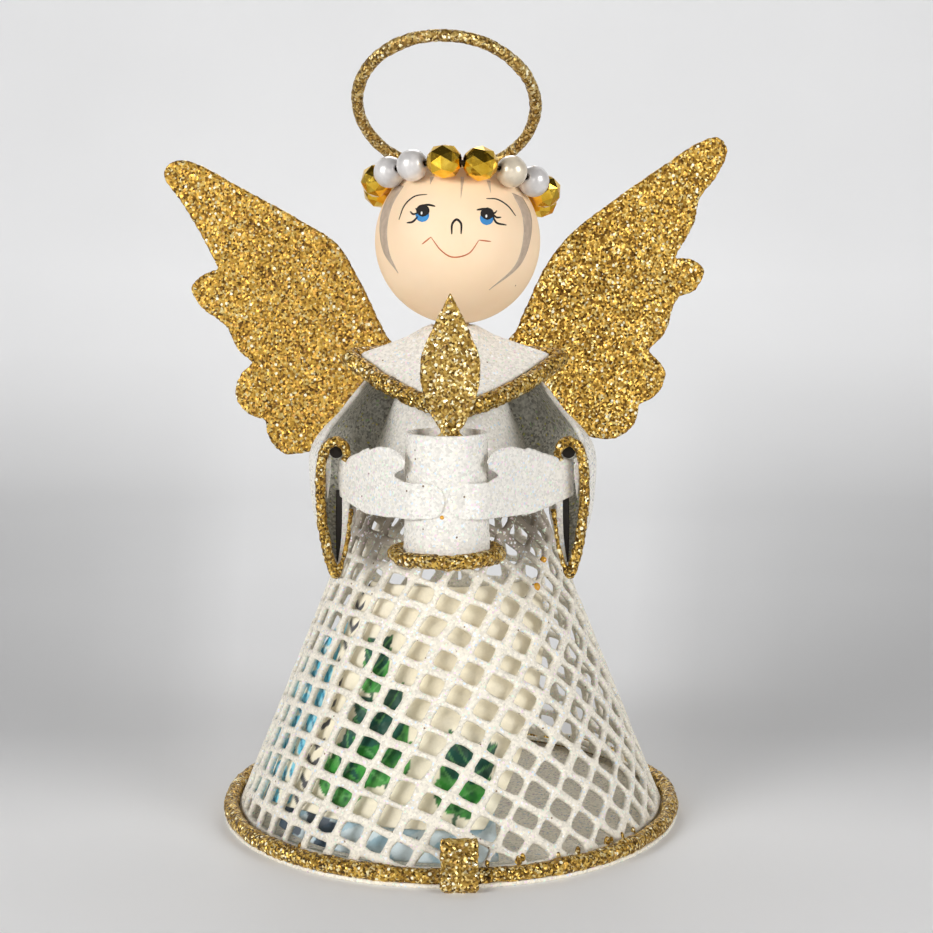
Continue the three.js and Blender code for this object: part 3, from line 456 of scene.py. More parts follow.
def dense(source, voxel, passes):
    """A finer mesh of even cells in place of a coarse closed one, with softened edges."""
    source.transform(Matrix.Scale(1 / MM, 4))
    carrier = bpy.data.objects.new("source", source)
    link(carrier)
    remesh = carrier.modifiers.new("Remesh", "REMESH")
    remesh.mode = "VOXEL"
    remesh.voxel_size = voxel
    soften = carrier.modifiers.new("Smooth", "SMOOTH")
    soften.iterations = passes
    shown = carrier.evaluated_get(bpy.context.evaluated_depsgraph_get())
    mesh = bpy.data.meshes.new_from_object(shown)
    bpy.data.objects.remove(carrier)
    bpy.data.meshes.remove(source)
    mesh.transform(Matrix.Scale(MM, 4))
    mesh.materials.clear()
    mesh.polygons.foreach_set("use_smooth", [True] * len(mesh.polygons))
    return mesh


def grid_faces(rows, columns, wraps=False):
    """Quads of a grid of points, row by row."""
    faces = []
    for i in range(rows - 1):
        for j in range(columns if wraps else columns - 1):
            k = (j + 1) % columns
            faces.append((i * columns + j, i * columns + k, (i + 1) * columns + k, (i + 1) * columns + j))
    return faces


def shell(front, back, looks=(0, 0, 0)):
    """A closed sheet between two grids of points. looks gives the material of front, back and edges."""
    rows, columns = front.shape[:2]
    half = rows * columns
    sheet = grid_faces(rows, columns)
    place = np.arange(half).reshape(rows, columns)
    border = np.concatenate([place[0], place[1:, -1], place[-1, -2::-1], place[-2:0:-1, 0]]).tolist()
    faces = sheet + [tuple(half + v for v in reversed(face)) for face in sheet]
    ahead = border[1:] + border[:1]
    faces += [(here, half + here, half + there, there) for here, there in zip(border, ahead)]
    numbers = np.repeat(looks, (len(sheet), len(sheet), len(border)))
    return mesh_from(np.concatenate([front.reshape(-1, 3), back.reshape(-1, 3)]), faces, numbers)


def turned(profile, segments, place=None):
    """A closed body turned about Z from a closed profile of radius and height, moved by a matrix."""
    angles = 2 * math.pi * np.arange(segments) / segments
    ring = np.column_stack([np.cos(angles), np.sin(angles), np.ones(segments)])
    rings = [ring * (r, r, z) for r, z in [*profile, profile[0]]]
    mesh = mesh_from(np.concatenate(rings), grid_faces(len(rings), segments, wraps=True))
    if place is not None:
        mesh.transform(place)
    return mesh


def plate(outline, thickness):
    """A flat plate behind an outline of x and z."""
    count = len(outline)
    points = [(x, y, z) for y in (0, thickness) for x, z in outline]
    faces = grid_faces(2, count, wraps=True)
    faces += [tuple(range(count)), tuple(reversed(range(count, 2 * count)))]
    return mesh_from(points, faces)


def tube(path, radius, sides, closed=False):
    """A round tube along points, with one radius or one for each point."""
    path = np.asarray(path, float)
    radii = np.broadcast_to(radius, len(path))
    ahead = np.roll(path, -1, axis=0) - np.roll(path, 1, axis=0)
    if not closed:
        ahead[0] = path[1] - path[0]
        ahead[-1] = path[-1] - path[-2]
    angles = 2 * math.pi * np.arange(sides) / sides
    rings = []
    side = Vector(ahead[0]).orthogonal()
    for point, run, size in zip(path, ahead, radii):
        run = Vector(run).normalized()
        side = (side - run * side.dot(run)).normalized()
        other = run.cross(side)
        rings.append([Vector(point) + (side * math.cos(a) + other * math.sin(a)) * size for a in angles])
    if closed:
        rings.append(rings[0])
    faces = grid_faces(len(rings), sides, wraps=True)
    if not closed:
        faces.append(tuple(reversed(range(sides))))
        faces.append(tuple(range((len(rings) - 1) * sides, len(rings) * sides)))
    return mesh_from(np.array(rings).reshape(-1, 3), faces)


def millimetres(matrix):
    """A matrix for meshes in metres from one whose shifts are in millimetres."""
    moved = matrix.copy()
    moved.translation = matrix.translation * MM
    return moved


def box_middle(node):
    low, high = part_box(node)
    return np.array((low + high) / 2) / MM


# Pieces

def add_piece(name, mesh, material, body="figure", node=None):
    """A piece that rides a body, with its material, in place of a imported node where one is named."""
    mesh.name = name
    piece = bpy.data.objects.new(name, mesh)
    link(piece)
    mesh.materials.append(material)
    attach(piece, body)
    if node is not None:
        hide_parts(node)
    return piece


def cover(node, kind, mesh, material, body="figure"):
    """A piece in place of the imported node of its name."""
    return add_piece(f"{node}.{kind}", mesh, material, body, node)


def dress(node, material, voxel, grain, change=None, proud=0.0, body="figure"):
    """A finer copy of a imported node, reshaped where change is given, with the grain of its finish."""
    mesh = dense(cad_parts[node].data.copy(), voxel, 5)
    if change is not None:
        points = coordinates(mesh)
        change(points)
        set_coordinates(mesh, points)
    cover(node, "glitter", roughen(mesh, *grain, proud), material, body)


# Materials

class Graph:
    """The nodes of a material or a world."""

    def __init__(self, name, kind="materials", shader="Principled BSDF"):
        self.owner = getattr(bpy.data, kind).new(name)
        self.owner.use_nodes = True
        self.tree = self.owner.node_tree
        self.shader = self.tree.nodes[shader]

    def feed(self, socket, value):
        if isinstance(value, bpy.types.NodeSocket):
            self.tree.links.new(value, socket)
        else:
            socket.default_value = value

    def node(self, kind, inputs=None, **settings):
        made = self.tree.nodes.new("ShaderNode" + kind)
        for key, value in settings.items():
            setattr(made, key, value)
        for key, value in (inputs or {}).items():
            self.feed(made.inputs[key], value)
        return made

    def place(self, space="Object"):
        return self.node("TexCoord").outputs[space]

    def axis(self, name, space="Object"):
        return self.node("SeparateXYZ", {0: self.place(space)}).outputs[name]

    def cells(self, size):
        """Voronoi cells about size wide: a random colour and the distance from the cell's middle."""
        return self.node("TexVoronoi", {"Vector": self.place(), "Scale": 1 / (size * MM)}).outputs

    def noise(self, size, detail=2, place=None):
        inputs = {"Vector": place or self.place(), "Scale": 1 / (size * MM), "Detail": detail}
        return self.node("TexNoise", inputs).outputs["Fac"]

    def channel(self, colour, name):
        return self.node("SeparateColor", {"Color": colour}).outputs[name]

    def math(self, operation, *values):
        return self.node("Math", dict(enumerate(values)), operation=operation).outputs[0]

    def line(self, value, slope, start):
        return self.math("MULTIPLY_ADD", value, slope, start)

    def ramp(self, value, stops, mode="LINEAR"):
        """A ramp through stops of a position and a display colour, or a grey from 0 to 1."""
        made = self.node("ValToRGB", {"Fac": value})
        made.color_ramp.interpolation = mode
        elements = made.color_ramp.elements
        while len(elements) < len(stops):
            elements.new(1)
        for element, (position, colour) in zip(elements, stops):
            element.position = position
            element.color = (colour, colour, colour, 1) if np.isscalar(colour) else linear(*colour)
        return made.outputs["Color"]

    def mix(self, share, first, second, mode="MIX"):
        inputs = {"Fac": share, "Color1": first, "Color2": second}
        return self.node("MixRGB", inputs, blend_type=mode).outputs["Color"]

    def multiply(self, first, second):
        return self.mix(1.0, first, second, "MULTIPLY")

    def dots(self, cell, share, width):
        """One in the round middles of a share of cells, and nought elsewhere."""
        cells = self.cells(cell)
        chosen = self.math("GREATER_THAN", self.channel(cells["Color"], "Red"), 1 - share)
        return self.math("MULTIPLY", chosen, self.math("LESS_THAN", cells["Distance"], width))

    def tilted(self, colour, amount):
        """The surface's normal, leaned over by a random colour."""
        def vector(operation, inputs):
            return self.node("VectorMath", inputs, operation=operation).outputs[0]

        centred = vector("SUBTRACT", {0: colour, 1: (0.5, 0.5, 0.5)})
        lean = vector("SCALE", {0: centred, "Scale": amount})
        summed = vector("ADD", {0: self.node("NewGeometry").outputs["Normal"], 1: lean})
        return vector("NORMALIZE", {0: summed})

    def bump(self, height, distance, **inputs):
        return self.node("Bump", {"Height": height, "Distance": distance * MM, **inputs}).outputs["Normal"]

    def shade(self, **values):
        for key, value in values.items():
            self.feed(self.shader.inputs[key.replace("_", " ")], value)
        return self.owner


def scaled(colour, part):
    return [min(channel * part, 255) for channel in colour]


def gold_flakes(name, flake, stops, lean, glint_share):
    """Loose metal flakes: each cell has its own lean and its own colour, partly the flakes' own tone and partly
    painted sparkle, and a few round ones are painted pale and less metallic as glints, a painted highlight.
    """
    graph = Graph(name)
    colours = graph.cells(flake)["Color"]
    tone = graph.ramp(graph.channel(colours, "Red"), stops)
    # Painted highlight: round glint dots, coloured pale and made less metallic
    painted_glints = graph.dots(GLINT_CELL, glint_share, GLINT_WIDTH)
    lit = graph.mix(painted_glints, tone, linear(*PAINTED_GLINT))
    normal = graph.tilted(colours, graph.line(painted_glints, -0.8 * lean, lean))
    metal = graph.line(painted_glints, -0.5, 0.55)
    return graph.shade(Base_Color=lit, Metallic=metal, Roughness=0.36, Normal=normal)


def white_flakes(name, base, flake, share, tints, speck_share, speck, bare=None, spread=(0.92, 1.05)):
    """Painted sheet with clear flakes: some cells are painted paler and tinted as sparkle, a painted highlight,
    and a few hold a coloured speck: dark specks on the paint, painted yellow sparkles on the sleeves' inside.

    A height and a colour may be given for the part above that height, where the paint is thin and the colour is
    also painted shade from the arms and candle over it."""
    graph = Graph(name)
    colours = graph.cells(flake)["Color"]
    deep, pale = (scaled(base, part) for part in spread)
    grain = graph.ramp(graph.channel(colours, "Red"), ((0, deep), (0.5, base), (1, pale)))
    coat = graph.multiply(grain, graph.ramp(graph.noise(2.2), ((0.3, 0.95), (0.7, 1))))
    # The net's top: thin paint, with painted shade from the arms and candle over it
    if bare is not None:
        height, shade = bare
        above = graph.line(graph.axis("Z"), 1 / (NET_THIN_PAINT_AND_SHADE_FADE * MM), -height / NET_THIN_PAINT_AND_SHADE_FADE)
        coat = graph.mix(graph.ramp(above, ((0, 0), (1, 1))), coat, linear(*shade))
    # Painted highlight: sparkle cells take a pale tint
    spark = graph.math("GREATER_THAN", graph.channel(colours, "Green"), 1 - share)
    stops = [(k / len(tints), tint) for k, tint in enumerate(tints)]
    glint = graph.ramp(graph.channel(colours, "Blue"), stops, "CONSTANT")
    specks = graph.dots(SPECK_CELL, speck_share, SPECK_WIDTH)
    colour = graph.mix(specks, graph.mix(spark, coat, glint), linear(*speck))
    leaned = graph.tilted(colours, graph.line(spark, SPARK_LEAN, FLAKE_LEAN))
    normal = graph.bump(graph.noise(0.35, 3), WHITE_BUMP, Normal=leaned)
    return graph.shade(Base_Color=colour, Roughness=graph.line(spark, -0.45, 0.6), Normal=normal)


def painted(name, colour, roughness, cloud=(0.8, 4), grain=(0.8 / 3, 3), height=0.01, **values):
    """A plain paint with faint uneven cover."""
    graph = Graph(name)
    uneven = graph.ramp(graph.noise(*cloud), ((0.35, scaled(colour, 0.9)), (0.65, colour)))
    normal = graph.bump(graph.noise(*grain), height)
    return graph.shade(Base_Color=uneven, Roughness=roughness, Normal=normal, **values)


def skin_paint():
    """Satin flesh paint over turned wood, uneven and with a few specks."""
    graph = Graph("skin")
    tone = graph.ramp(graph.noise(7, 3), ((0.3, (248, 216, 178)), (0.7, (252, 223, 188))))
    dotted = graph.mix(graph.dots(2.6, 0.06, 0.045), tone, linear(150, 120, 95))
    grain = graph.bump(graph.noise(0.6, 3), 0.02)
    return graph.shade(Base_Color=dotted, Roughness=0.6, Normal=grain, Subsurface_Weight=0.08,
                       Subsurface_Scale=0.6 * MM)


def bead_metal():
    """Bright metallised facets with tiny rubs."""
    graph = Graph("gold_bead")
    tone = graph.ramp(graph.noise(0.9, 4), ((0.3, (232, 178, 44)), (0.7, (255, 214, 84))))
    rough = graph.ramp(graph.noise(0.4, 4), ((0.4, 0.08), (0.75, 0.24)))
    return graph.shade(Base_Color=tone, Metallic=1.0, Roughness=rough)


def bare_wood():
    """Wood with its grain along the peg."""
    graph = Graph("bare_wood")
    stretched = graph.node("Mapping", {"Vector": graph.place(), "Scale": (1, 1, 0.12)}).outputs["Vector"]
    rings = graph.noise(0.5, 4, stretched)
    tone = graph.ramp(rings, ((0.35, (186, 148, 100)), (0.65, (224, 192, 146))))
    return graph.shade(Base_Color=tone, Roughness=0.7, Normal=graph.bump(rings, 0.03))


def paper_print():
    """Printed paper: colours held by the mesh, with faint fibres."""
    graph = Graph("paper")
    ink = graph.node("VertexColor", layer_name="print").outputs["Color"]
    fibres = graph.noise(0.3, 4)
    colour = graph.multiply(ink, graph.ramp(fibres, ((0.3, 0.93), (0.7, 1))))
    return graph.shade(Base_Color=colour, Roughness=0.78, Normal=graph.bump(fibres, 0.02))


GOLD = gold_flakes("gold_glitter", 0.26, GOLD_STOPS, 0.9, 0.1)
FLAME_GOLD = gold_flakes("flame_glitter", 0.23, FLAME_STOPS, 0.9, 0.16)
HALO_GOLD = gold_flakes("halo_glitter", 0.24, HALO_STOPS, 0.9, 0.06)
TRIM = gold_flakes("gold_trim", 0.23, TRIM_STOPS, 0.95, 0.12)
WHITE = white_flakes("white_glitter", (237, 233, 224), 0.24, 0.14, CLEAR_SPARKLE_TINTS, 0.09, (112, 86, 60))
NET = white_flakes("net_glitter", (240, 233, 217), 0.24, 0.14, CLEAR_SPARKLE_TINTS, 0.12, (132, 104, 74),
                   (NET_THIN_PAINT_AND_SHADE_HEIGHT, (166, 155, 140)))
# The sleeves' inside: its yellow specks are painted sparkle
GREY = white_flakes("bare_inside", (214, 213, 204), 0.26, 0.06, DULL_SPARKLE_TINTS, 0.1, (255, 248, 120),
                    spread=(0.72, 1.14))
# Painted light: a paler, warmer copy of the white glitter for the plate, which lies in the skirt's shade
LIT_PLATE_WHITE = white_flakes("plate_glitter_lit", (244, 236, 219), 0.24, 0.14, CLEAR_SPARKLE_TINTS, 0.06, (150, 120, 90))
# Painted shade for the hollows inside the cuffs
HOLLOW_SHADE = painted("painted_hollow_shade", (52, 47, 42), 0.8)
SKIN = skin_paint()
INK = painted("ink", (22, 16, 12), 0.8)
IRIS = painted("iris_blue", (44, 138, 204), 0.6)
CATCHLIGHT = painted("catchlight", (250, 248, 244), 0.3)
LIP = painted("lip_orange", (206, 112, 66), 0.6)
TAUPE = painted("hair_taupe", (196, 174, 152), 0.5)
PEARL = painted("pearl", (236, 232, 229), 0.3, **LACQUER)
CREAM_PEARL = painted("cream_pearl", (236, 222, 198), 0.3, **LACQUER)
BEAD = bead_metal()
WIRE = painted("wire", (74, 58, 34), 0.35, Metallic=0.9)
WOOD = bare_wood()
PAPER = paper_print()
GLUE = painted("amber_glue", (230, 165, 30), 0.12, Coat_Weight=0.8)


# Base, rim, tongues and collar

def build_base():
    edge = arc((PLATE_RADIUS - PLATE_ROUND, SHEET / 2), (PLATE_ROUND, SHEET / 2), -QUARTER, QUARTER, 7)
    under = [(radius, 0) for radius in PLATE_RINGS]
    upper = [(radius, SHEET) for radius in reversed(PLATE_RINGS)]
    # The plate's finish is the lit copy of the white glitter: painted light
    cover("base_plate", "disc", turned([*under, *edge, *upper], 160), LIT_PLATE_WHITE, "base")
    bead = arc((RIM_RADIUS, RIM_HEIGHT), RIM_BEAD, -RIM_FLAT, math.pi + RIM_FLAT, 26)
    rim = roughen(turned(bead, 900), 2.6, 0.16, 11)
    cover("base_rim", "glitter", roughen(rim, 0.42, 0.1, 12), TRIM, "base")


def build_crease():
    """The bend between the plate and its tongue, which stays with the plate when the catch opens."""
    middle = box_middle("catch_tab")[0] + TAB_ASIDE
    left, right = middle - CREASE_HALF, middle + CREASE_HALF
    bottom, top = CREASE_HEIGHTS
    front, back = CREASE_DEPTHS
    mesh = plate([(left, bottom), (right, bottom), (right, top), (left, top)], back - front)
    mesh.transform(Matrix.Translation((0, front * MM, 0)))
    add_piece("catch_crease", roughen(dense(mesh, 0.09, 2), 0.42, 0.03, 19), FLAME_GOLD, "base")


def round_tab(points):
    """The tongue's rounded end, and its waist where the rim passes."""
    across = points[:, 0]
    middle = (across.min() + across.max()) / 2
    points[:, 0] = middle + TAB_ASIDE + (across - middle) * np.interp(points[:, 2], *zip(*TAB_WAIST))


def lift_collar(points):
    """The collar, lifted round the neck so that the ball sits down in it."""
    near, far = COLLAR_LIFT_REACH
    points[:, 2] += COLLAR_LIFT * np.clip((far - np.hypot(*points[:, :2].T)) / (far - near), 0, 1)


def build_sheets():
    dress("catch_tab", FLAME_GOLD, 0.15, (0.42, 0.09, 9), round_tab, body="catch")
    dress("rear_strap", WHITE, 0.2, (0.4, 0.02, 10))
    dress("collar_edging", TRIM, 0.17, (0.45, 0.14, 13), proud=0.33)
    dress("collar", WHITE, 0.2, (0.4, 0.025, 6), lift_collar)


# Candle, arms and wings

CANDLE_MIDDLE = box_middle("candle_tube")[:2]


def candle_shape(heights):
    """How far up the candle heights lie, from 0 to 1, and how much its flare widens it there."""
    share = np.clip((heights - CANDLE_FOOT) / (CANDLE_TOP - CANDLE_FOOT), 0, 1)
    return share, 1 + CANDLE_FLARE * share ** 2


def widen(points, times):
    points[:, :2] = CANDLE_MIDDLE + (points[:, :2] - CANDLE_MIDDLE) * times


def build_candle():
    """The candle's tube, a little flared at the top, its tray and flame."""
    dress("candle_tube", WHITE, 0.16, (0.5, 0.03, 11),
          lambda points: widen(points, candle_shape(points[:, 2])[1][:, None]))
    dress("candle_tray", WHITE, 0.16, (0.4, 0.02, 12), lambda points: widen(points, TRAY_SHARE))

    bead = arc((TRAY_EDGE, CANDLE_FOOT), TRAY_BEAD, 0, 2 * math.pi, 24, whole=True)
    ring = turned(bead, 260, Matrix.Translation((*CANDLE_MIDDLE * MM, 0)))
    ring = roughen(ring, 1.6, 0.14, 13)
    cover("tray_edging", "glitter", roughen(ring, 0.45, 0.12, 14), TRIM)

    side = np.array(FLAME_SIDE)
    edge = np.concatenate([side[:2], curve(side[2:], 60)])
    flame = plate(np.concatenate([edge, edge[-2::-1] * (-1, 1)]), FLAME_THICKNESS)
    place = (*CANDLE_MIDDLE + (FLAME_ASIDE, -FLAME_THICKNESS / 2), FLAME_FOOT)
    flame.transform(millimetres(Matrix.Translation(place)))
    cover("flame", "glitter", roughen(dense(flame, 0.13, 4), 0.4, 0.07, 15), FLAME_GOLD)


def seat_arm(points, thin, wrist):
    """Lays a hand down on the candle, where it thins out, fills the forearm's top and draws the wrist in."""
    near, far = HAND_REACH
    foot, top = CANDLE_WALLS
    flat = points[:, :2] - CANDLE_MIDDLE
    out = np.abs(flat[:, 0])
    radius = np.hypot(*flat.T)
    share = eased(np.clip((far - out) / (far - near), 0, 1))
    up, flare = candle_shape(points[:, 2])
    seated = (foot + (top - foot) * up) * flare + (radius - HAND_SEAT) * (1 - thin * share)
    widen(points, ((seated * share + radius * (1 - share)) / radius)[:, None])
    upper = np.interp(points[:, 2], ARM_FILL_HEIGHTS, (0, 1))
    points[:, 2] += upper * np.interp(out, *zip(*ARM_FILL))
    points[:, 0] -= np.sign(flat[:, 0]) * np.maximum(out - WRIST_BEND, 0) * (1 - wrist)


def build_arms():
    for node, thin, wrist in ARM_SHAPES:
        dress(node, WHITE, 0.16, (0.4, 0.035, 8), lambda points: seat_arm(points, thin, wrist))


def build_wings():
    turn = Matrix.Translation((0, 0, WING_PIVOT)) @ Matrix.Rotation(WING_ROLL, 4, "Y")
    for label, side in SIDES:
        edges = [curve(points, 8 * len(points))[:-1] for points in WING_OUTLINES[label]]
        outline = np.concatenate([*edges, WING_ROOT]) * (side, 1) - (0, WING_PIVOT)
        sheet = plate(outline, WING_THICKNESS)
        place = turn @ Matrix.Rotation(side * WING_SWEEP, 4, "Z") @ Matrix.Translation((0, WING_FRONT, 0))
        sheet.transform(millimetres(place))
        cover(f"wing_{label}", "glitter", roughen(dense(sheet, 0.19, 4), 0.45, 0.08, 16 + side), GOLD)


# Skirt

def rolled(points):
    """Rolls flat points, with their depth under the outer face as z, onto the skirt's cone."""
    x, y, depth = points.T
    along = np.hypot(x, y)
    radius = along * CONE_SIN - depth * CONE_COS
    return around(np.arctan2(x, -y) / CONE_SIN, radius, APEX_HEIGHT - along * CONE_COS - depth * CONE_SIN)


def cut(body, place, direction):
    """Cuts a body at a plane, drops what lies beyond and closes the cut."""
    everything = [*body.verts, *body.edges, *body.faces]
    bmesh.ops.bisect_plane(body, geom=everything, plane_co=place, plane_no=direction, clear_outer=True,
                           dist=WELD * MM)
    bmesh.ops.holes_fill(body, edges=[edge for edge in body.edges if edge.is_boundary], sides=0)


def bent(flat):
    """Flat points of the net, drawn down towards its sides as the hand-rolled sheet is."""
    moved = np.array(flat, float)
    moved[:, 1] -= NET_BEND * NET_BEND_REACH * np.log(np.cosh(moved[:, 0] / NET_BEND_REACH))
    return moved


def net_places(axes):
    """The middles of the holes that the skirt's flat pattern takes in, by column and row."""
    steps = axes * NET_PITCHES[:, None]
    corners = np.array([(a, b) for a in (-0.5, 0.5) for b in (-0.5, 0.5)])
    hem = HEM_RADIUS / CONE_SIN
    top = (APEX_HEIGHT - NET_TOP) / CONE_COS
    half = math.pi * CONE_SIN
    reach = math.ceil(hem / NET_PITCHES.min()) + NET_SPARE_COLUMNS
    kept = {}
    for column in range(-reach, reach + 1):
        for row in range(-reach, reach + 1):
            x, y = bent((corners + (column, row)) @ steps).T
            along = np.hypot(x, y).min()
            turn = np.abs(np.arctan2(x, -y))
            if top < along < hem + 1 and turn.min() < half and turn.max() < half + NET_SPARE_TURN:
                kept[column, row] = np.array((column, row)) @ steps
    return kept


def build_net():
    """Net of rounded square holes, a little skewed, laid out flat, trimmed at seam and hem, and rolled."""
    rng = np.random.default_rng(5)
    axes = np.array([(math.cos(NET_FALL), -math.sin(NET_FALL)), (math.sin(NET_LEAN), math.cos(NET_LEAN))])
    count = NET_HOLE_POINTS
    ring = arc((0, 0), 1, 0, 2 * math.pi, count, whole=True)
    square = ring / np.max(np.abs(ring), axis=1)[:, None] * NET_PITCHES / 2
    rounded = ring / (np.sum(np.abs(ring) ** NET_SQUARENESS, axis=1) ** (1 / NET_SQUARENESS))[:, None]
    depths = (0, 0, NET_CHAMFER_DEPTH, NET_THICKNESS - NET_CHAMFER_DEPTH, NET_THICKNESS, NET_THICKNESS)
    walls = grid_faces(len(depths), count, wraps=True)
    inner = (len(depths) - 1) * count
    kept = net_places(axes)
    points, faces = [], []
    for (column, row), middle in kept.items():
        size = (NET_PITCHES - NET_STRAND) / 2 * rng.uniform(*NET_UNEVEN, 2)
        wide, narrow = rounded * (size + NET_CHAMFER), rounded * size
        start = len(points)
        for loop, depth in zip((square, wide, narrow, narrow, wide, square), depths):
            points.extend((x, y, depth) for x, y in middle + loop @ axes)
        faces.extend(tuple(start + v for v in face) for face in walls)
        for side, (right, up) in enumerate(((1, 0), (0, 1), (-1, 0), (0, -1))):
            if (column + right, row + up) in kept:
                continue
            for k in range(side * 4 - 2, side * 4 + 2):
                a, b = start + k % count, start + (k + 1) % count
                faces.append((a, b, b + inner, a + inner))
    points = np.array(points)
    level = points * (1, 1, 0)
    for axis in (0, 1):
        waves = [height * lattice_noise(level, cell, seed + axis) for height, cell, seed in NET_WAVES]
        points[:, axis] += sum(waves)
    mesh = mesh_from(bent(points), faces)
    body = bmesh.new()
    body.from_mesh(mesh)
    half = math.pi * CONE_SIN
    for side in (1, -1):
        outward = Vector((side * math.cos(half), math.sin(half), 0))
        cut(body, outward * -NET_SEAM_GAP * MM, outward)
    places = rolled(np.array([vert.co for vert in body.verts]) / MM)
    for vert, place in zip(body.verts, places):
        vert.co = Vector(place) * MM
    cut(body, (0, 0, HEM_HEIGHT * MM), (0, 0, -1))
    write_back(body, mesh)
    cover("skirt_mesh", "net", roughen(mesh, 0.45, 0.03, 41), NET)


def build_skirt_edges():
    """The hem's border and the lapped seam up the back."""
    inset = NET_THICKNESS / CONE_COS
    lower, upper = HEM_BAND
    band = [(skirt_radius(z) - back, z)
            for z, back in ((lower, inset), (lower, 0), (upper, 0), (upper, inset))]
    add_piece("hem_band", roughen(turned(band, 240), 0.4, 0.03, 43), NET)

    heights = np.linspace(*SEAM_HEIGHTS, 120)[:, None]
    widths = np.linspace(-SEAM_HALF, SEAM_HALF, 9)

    def face(proud):
        depth = np.sqrt((skirt_radius(heights) + proud) ** 2 - widths ** 2)
        return np.stack(np.broadcast_arrays(widths, depth, heights), axis=-1)

    seam = shell(face(SEAM_PROUD), face(SEAM_DEPTH))
    add_piece("seam_lap", roughen(seam, 0.4, 0.03, 44), NET)


# Paper

def blend_in(colours, share, shade):
    share = np.clip(share, 0, 1)[:, None]
    colours[:] = colours * (1 - share) + np.array(linear(*shade)[:3]) * share


def ground(u, shade):
    return np.tile(np.array(linear(*shade)[:3]), (len(u), 1))


def swung(u, v, place, angle):
    """Distances along a line that leaves a place at an angle, and off it."""
    x, z = u - place[0], v - place[1]
    across, up = math.cos(angle), math.sin(angle)
    return x * across + z * up, np.abs(z * across - x * up)


def print_colours(u, v):
    """A generic print: cream ground, columns of teal lozenges, small navy chevrons and green leaf sprigs."""
    flat = np.column_stack([u, v, np.zeros(len(u))])
    fine = lattice_noise(flat, 0.5, 53)
    colours = ground(u, (255, 247, 225))
    blend_in(colours, 0.25 * (0.5 + lattice_noise(flat, 4, 51)), (248, 238, 206))
    for middle, half, start in PRINT_LOZENGES:
        along = ((v - start) % 2.7) / 1.35 - 1
        inside = np.abs(u - middle) < half * (1 - along ** 4)
        blend_in(colours, inside * (0.88 + 0.3 * fine), (98, 204, 232))
        hatch = inside & (np.sin(3.6 * (u + v)) > 0.72)
        blend_in(colours, hatch * 0.8, (24, 96, 138))
    off = np.abs(u - CHEVRON_MIDDLE)
    step = (v - 0.2 - 0.8 * off) % 2.2
    blend_in(colours, ((off < 1.05) & (step < 0.8)) * 0.9, (22, 38, 62))
    for x, z, degrees, scale in PRINT_SPRIGS:
        lean = math.radians(degrees)
        stem = np.array([math.cos(lean), math.sin(lean)])
        run, off = swung(u, v, (x, z), lean)
        blend_in(colours, ((off < 0.22) & (run > -1) & (run < 8.4 * scale)) * 0.9, (24, 92, 58))
        for k, tone in enumerate(((62, 160, 58), (62, 160, 58), (24, 88, 74), (24, 88, 74))):
            for side in (1, -1):
                spot = np.array([x, z]) + stem * (0.6 + 1.9 * k) * scale
                along, off = swung(u, v, spot, lean + side * LEAF_LEAN)
                share = np.clip(along / (LEAF_LENGTH * scale), 0, 1)
                edge = LEAF_HALF * scale * np.sin(math.pi * share ** 0.8)
                inside = (share > 0) & (share < 1) & (off < edge)
                blend_in(colours, inside * 0.95, tone)
                blend_in(colours, inside * np.clip(fine + 0.2, 0, 1) * 0.8, (16, 66, 52))
                blend_in(colours, (inside & (off < 0.12)) * 0.6, (120, 190, 110))
    return colours


def band_colours(u, v):
    """The lower turn of the roll: pale blue with darker waves."""
    flat = np.column_stack([u, v, np.zeros(len(u))])
    colours = ground(u, (226, 240, 245))
    waves = np.sin(u * 0.9 + 2.2 * np.sin(v * 0.8)) > 0.3
    blend_in(colours, waves * (0.55 + 0.3 * lattice_noise(flat, 0.9, 61)), (118, 176, 200))
    dark = lattice_noise(flat, 1.7, 62) - 0.05 * (u + 14) > 0.3
    blend_in(colours, dark * 0.85, (32, 44, 66))
    return colours


def printed(turn, height, depth, colours):
    """A printed sheet along the skirt's cone, so deep under its outer face."""
    def face(under):
        return around(turn, skirt_radius(height) - under / CONE_COS, height)

    mesh = shell(face(depth), face(depth + PAPER_THICKNESS))
    x, y, z = coordinates(mesh).T
    shades = colours(np.arctan2(x, -y) * skirt_radius(PRINT_HEIGHT), z)
    layer = mesh.color_attributes.new("print", "FLOAT_COLOR", "POINT")
    layer.data.foreach_set("color", np.column_stack([shades, np.ones(len(shades))]).ravel())
    return mesh


def build_paper():
    turn = np.linspace(PAPER_LEFT, PAPER_RIGHT, PAPER_COLUMNS)
    rise = np.clip((turn - PAPER_LEFT) / (PAPER_FOLD - PAPER_LEFT), 0, 1)
    top = PAPER_LEFT_LOW + rise * (PAPER_TOP - PAPER_LEFT_LOW)
    lift = np.clip((turn - PAPER_RIGHT_LOW) / (PAPER_RIGHT - PAPER_RIGHT_LOW), 0, 1)
    bottom = PAPER_BOTTOM + lift * (PAPER_TOP - PAPER_CORNER - PAPER_BOTTOM) - (1 - rise) * PAPER_LEFT_DROP
    height = bottom + np.linspace(0, 1, PAPER_ROWS)[:, None] * (top - bottom)
    depth = np.interp(turn, PAPER_DEPTH_TURNS, PAPER_DEPTHS)
    cover("paper_slip", "sheet", printed(turn, height, depth, print_colours), PAPER)
    roll = printed(ROLL_TURNS, ROLL_HEIGHTS, ROLL_DEPTH, band_colours)
    add_piece("paper_roll.layer", roll, PAPER)


# Bodice, sleeves and cuffs

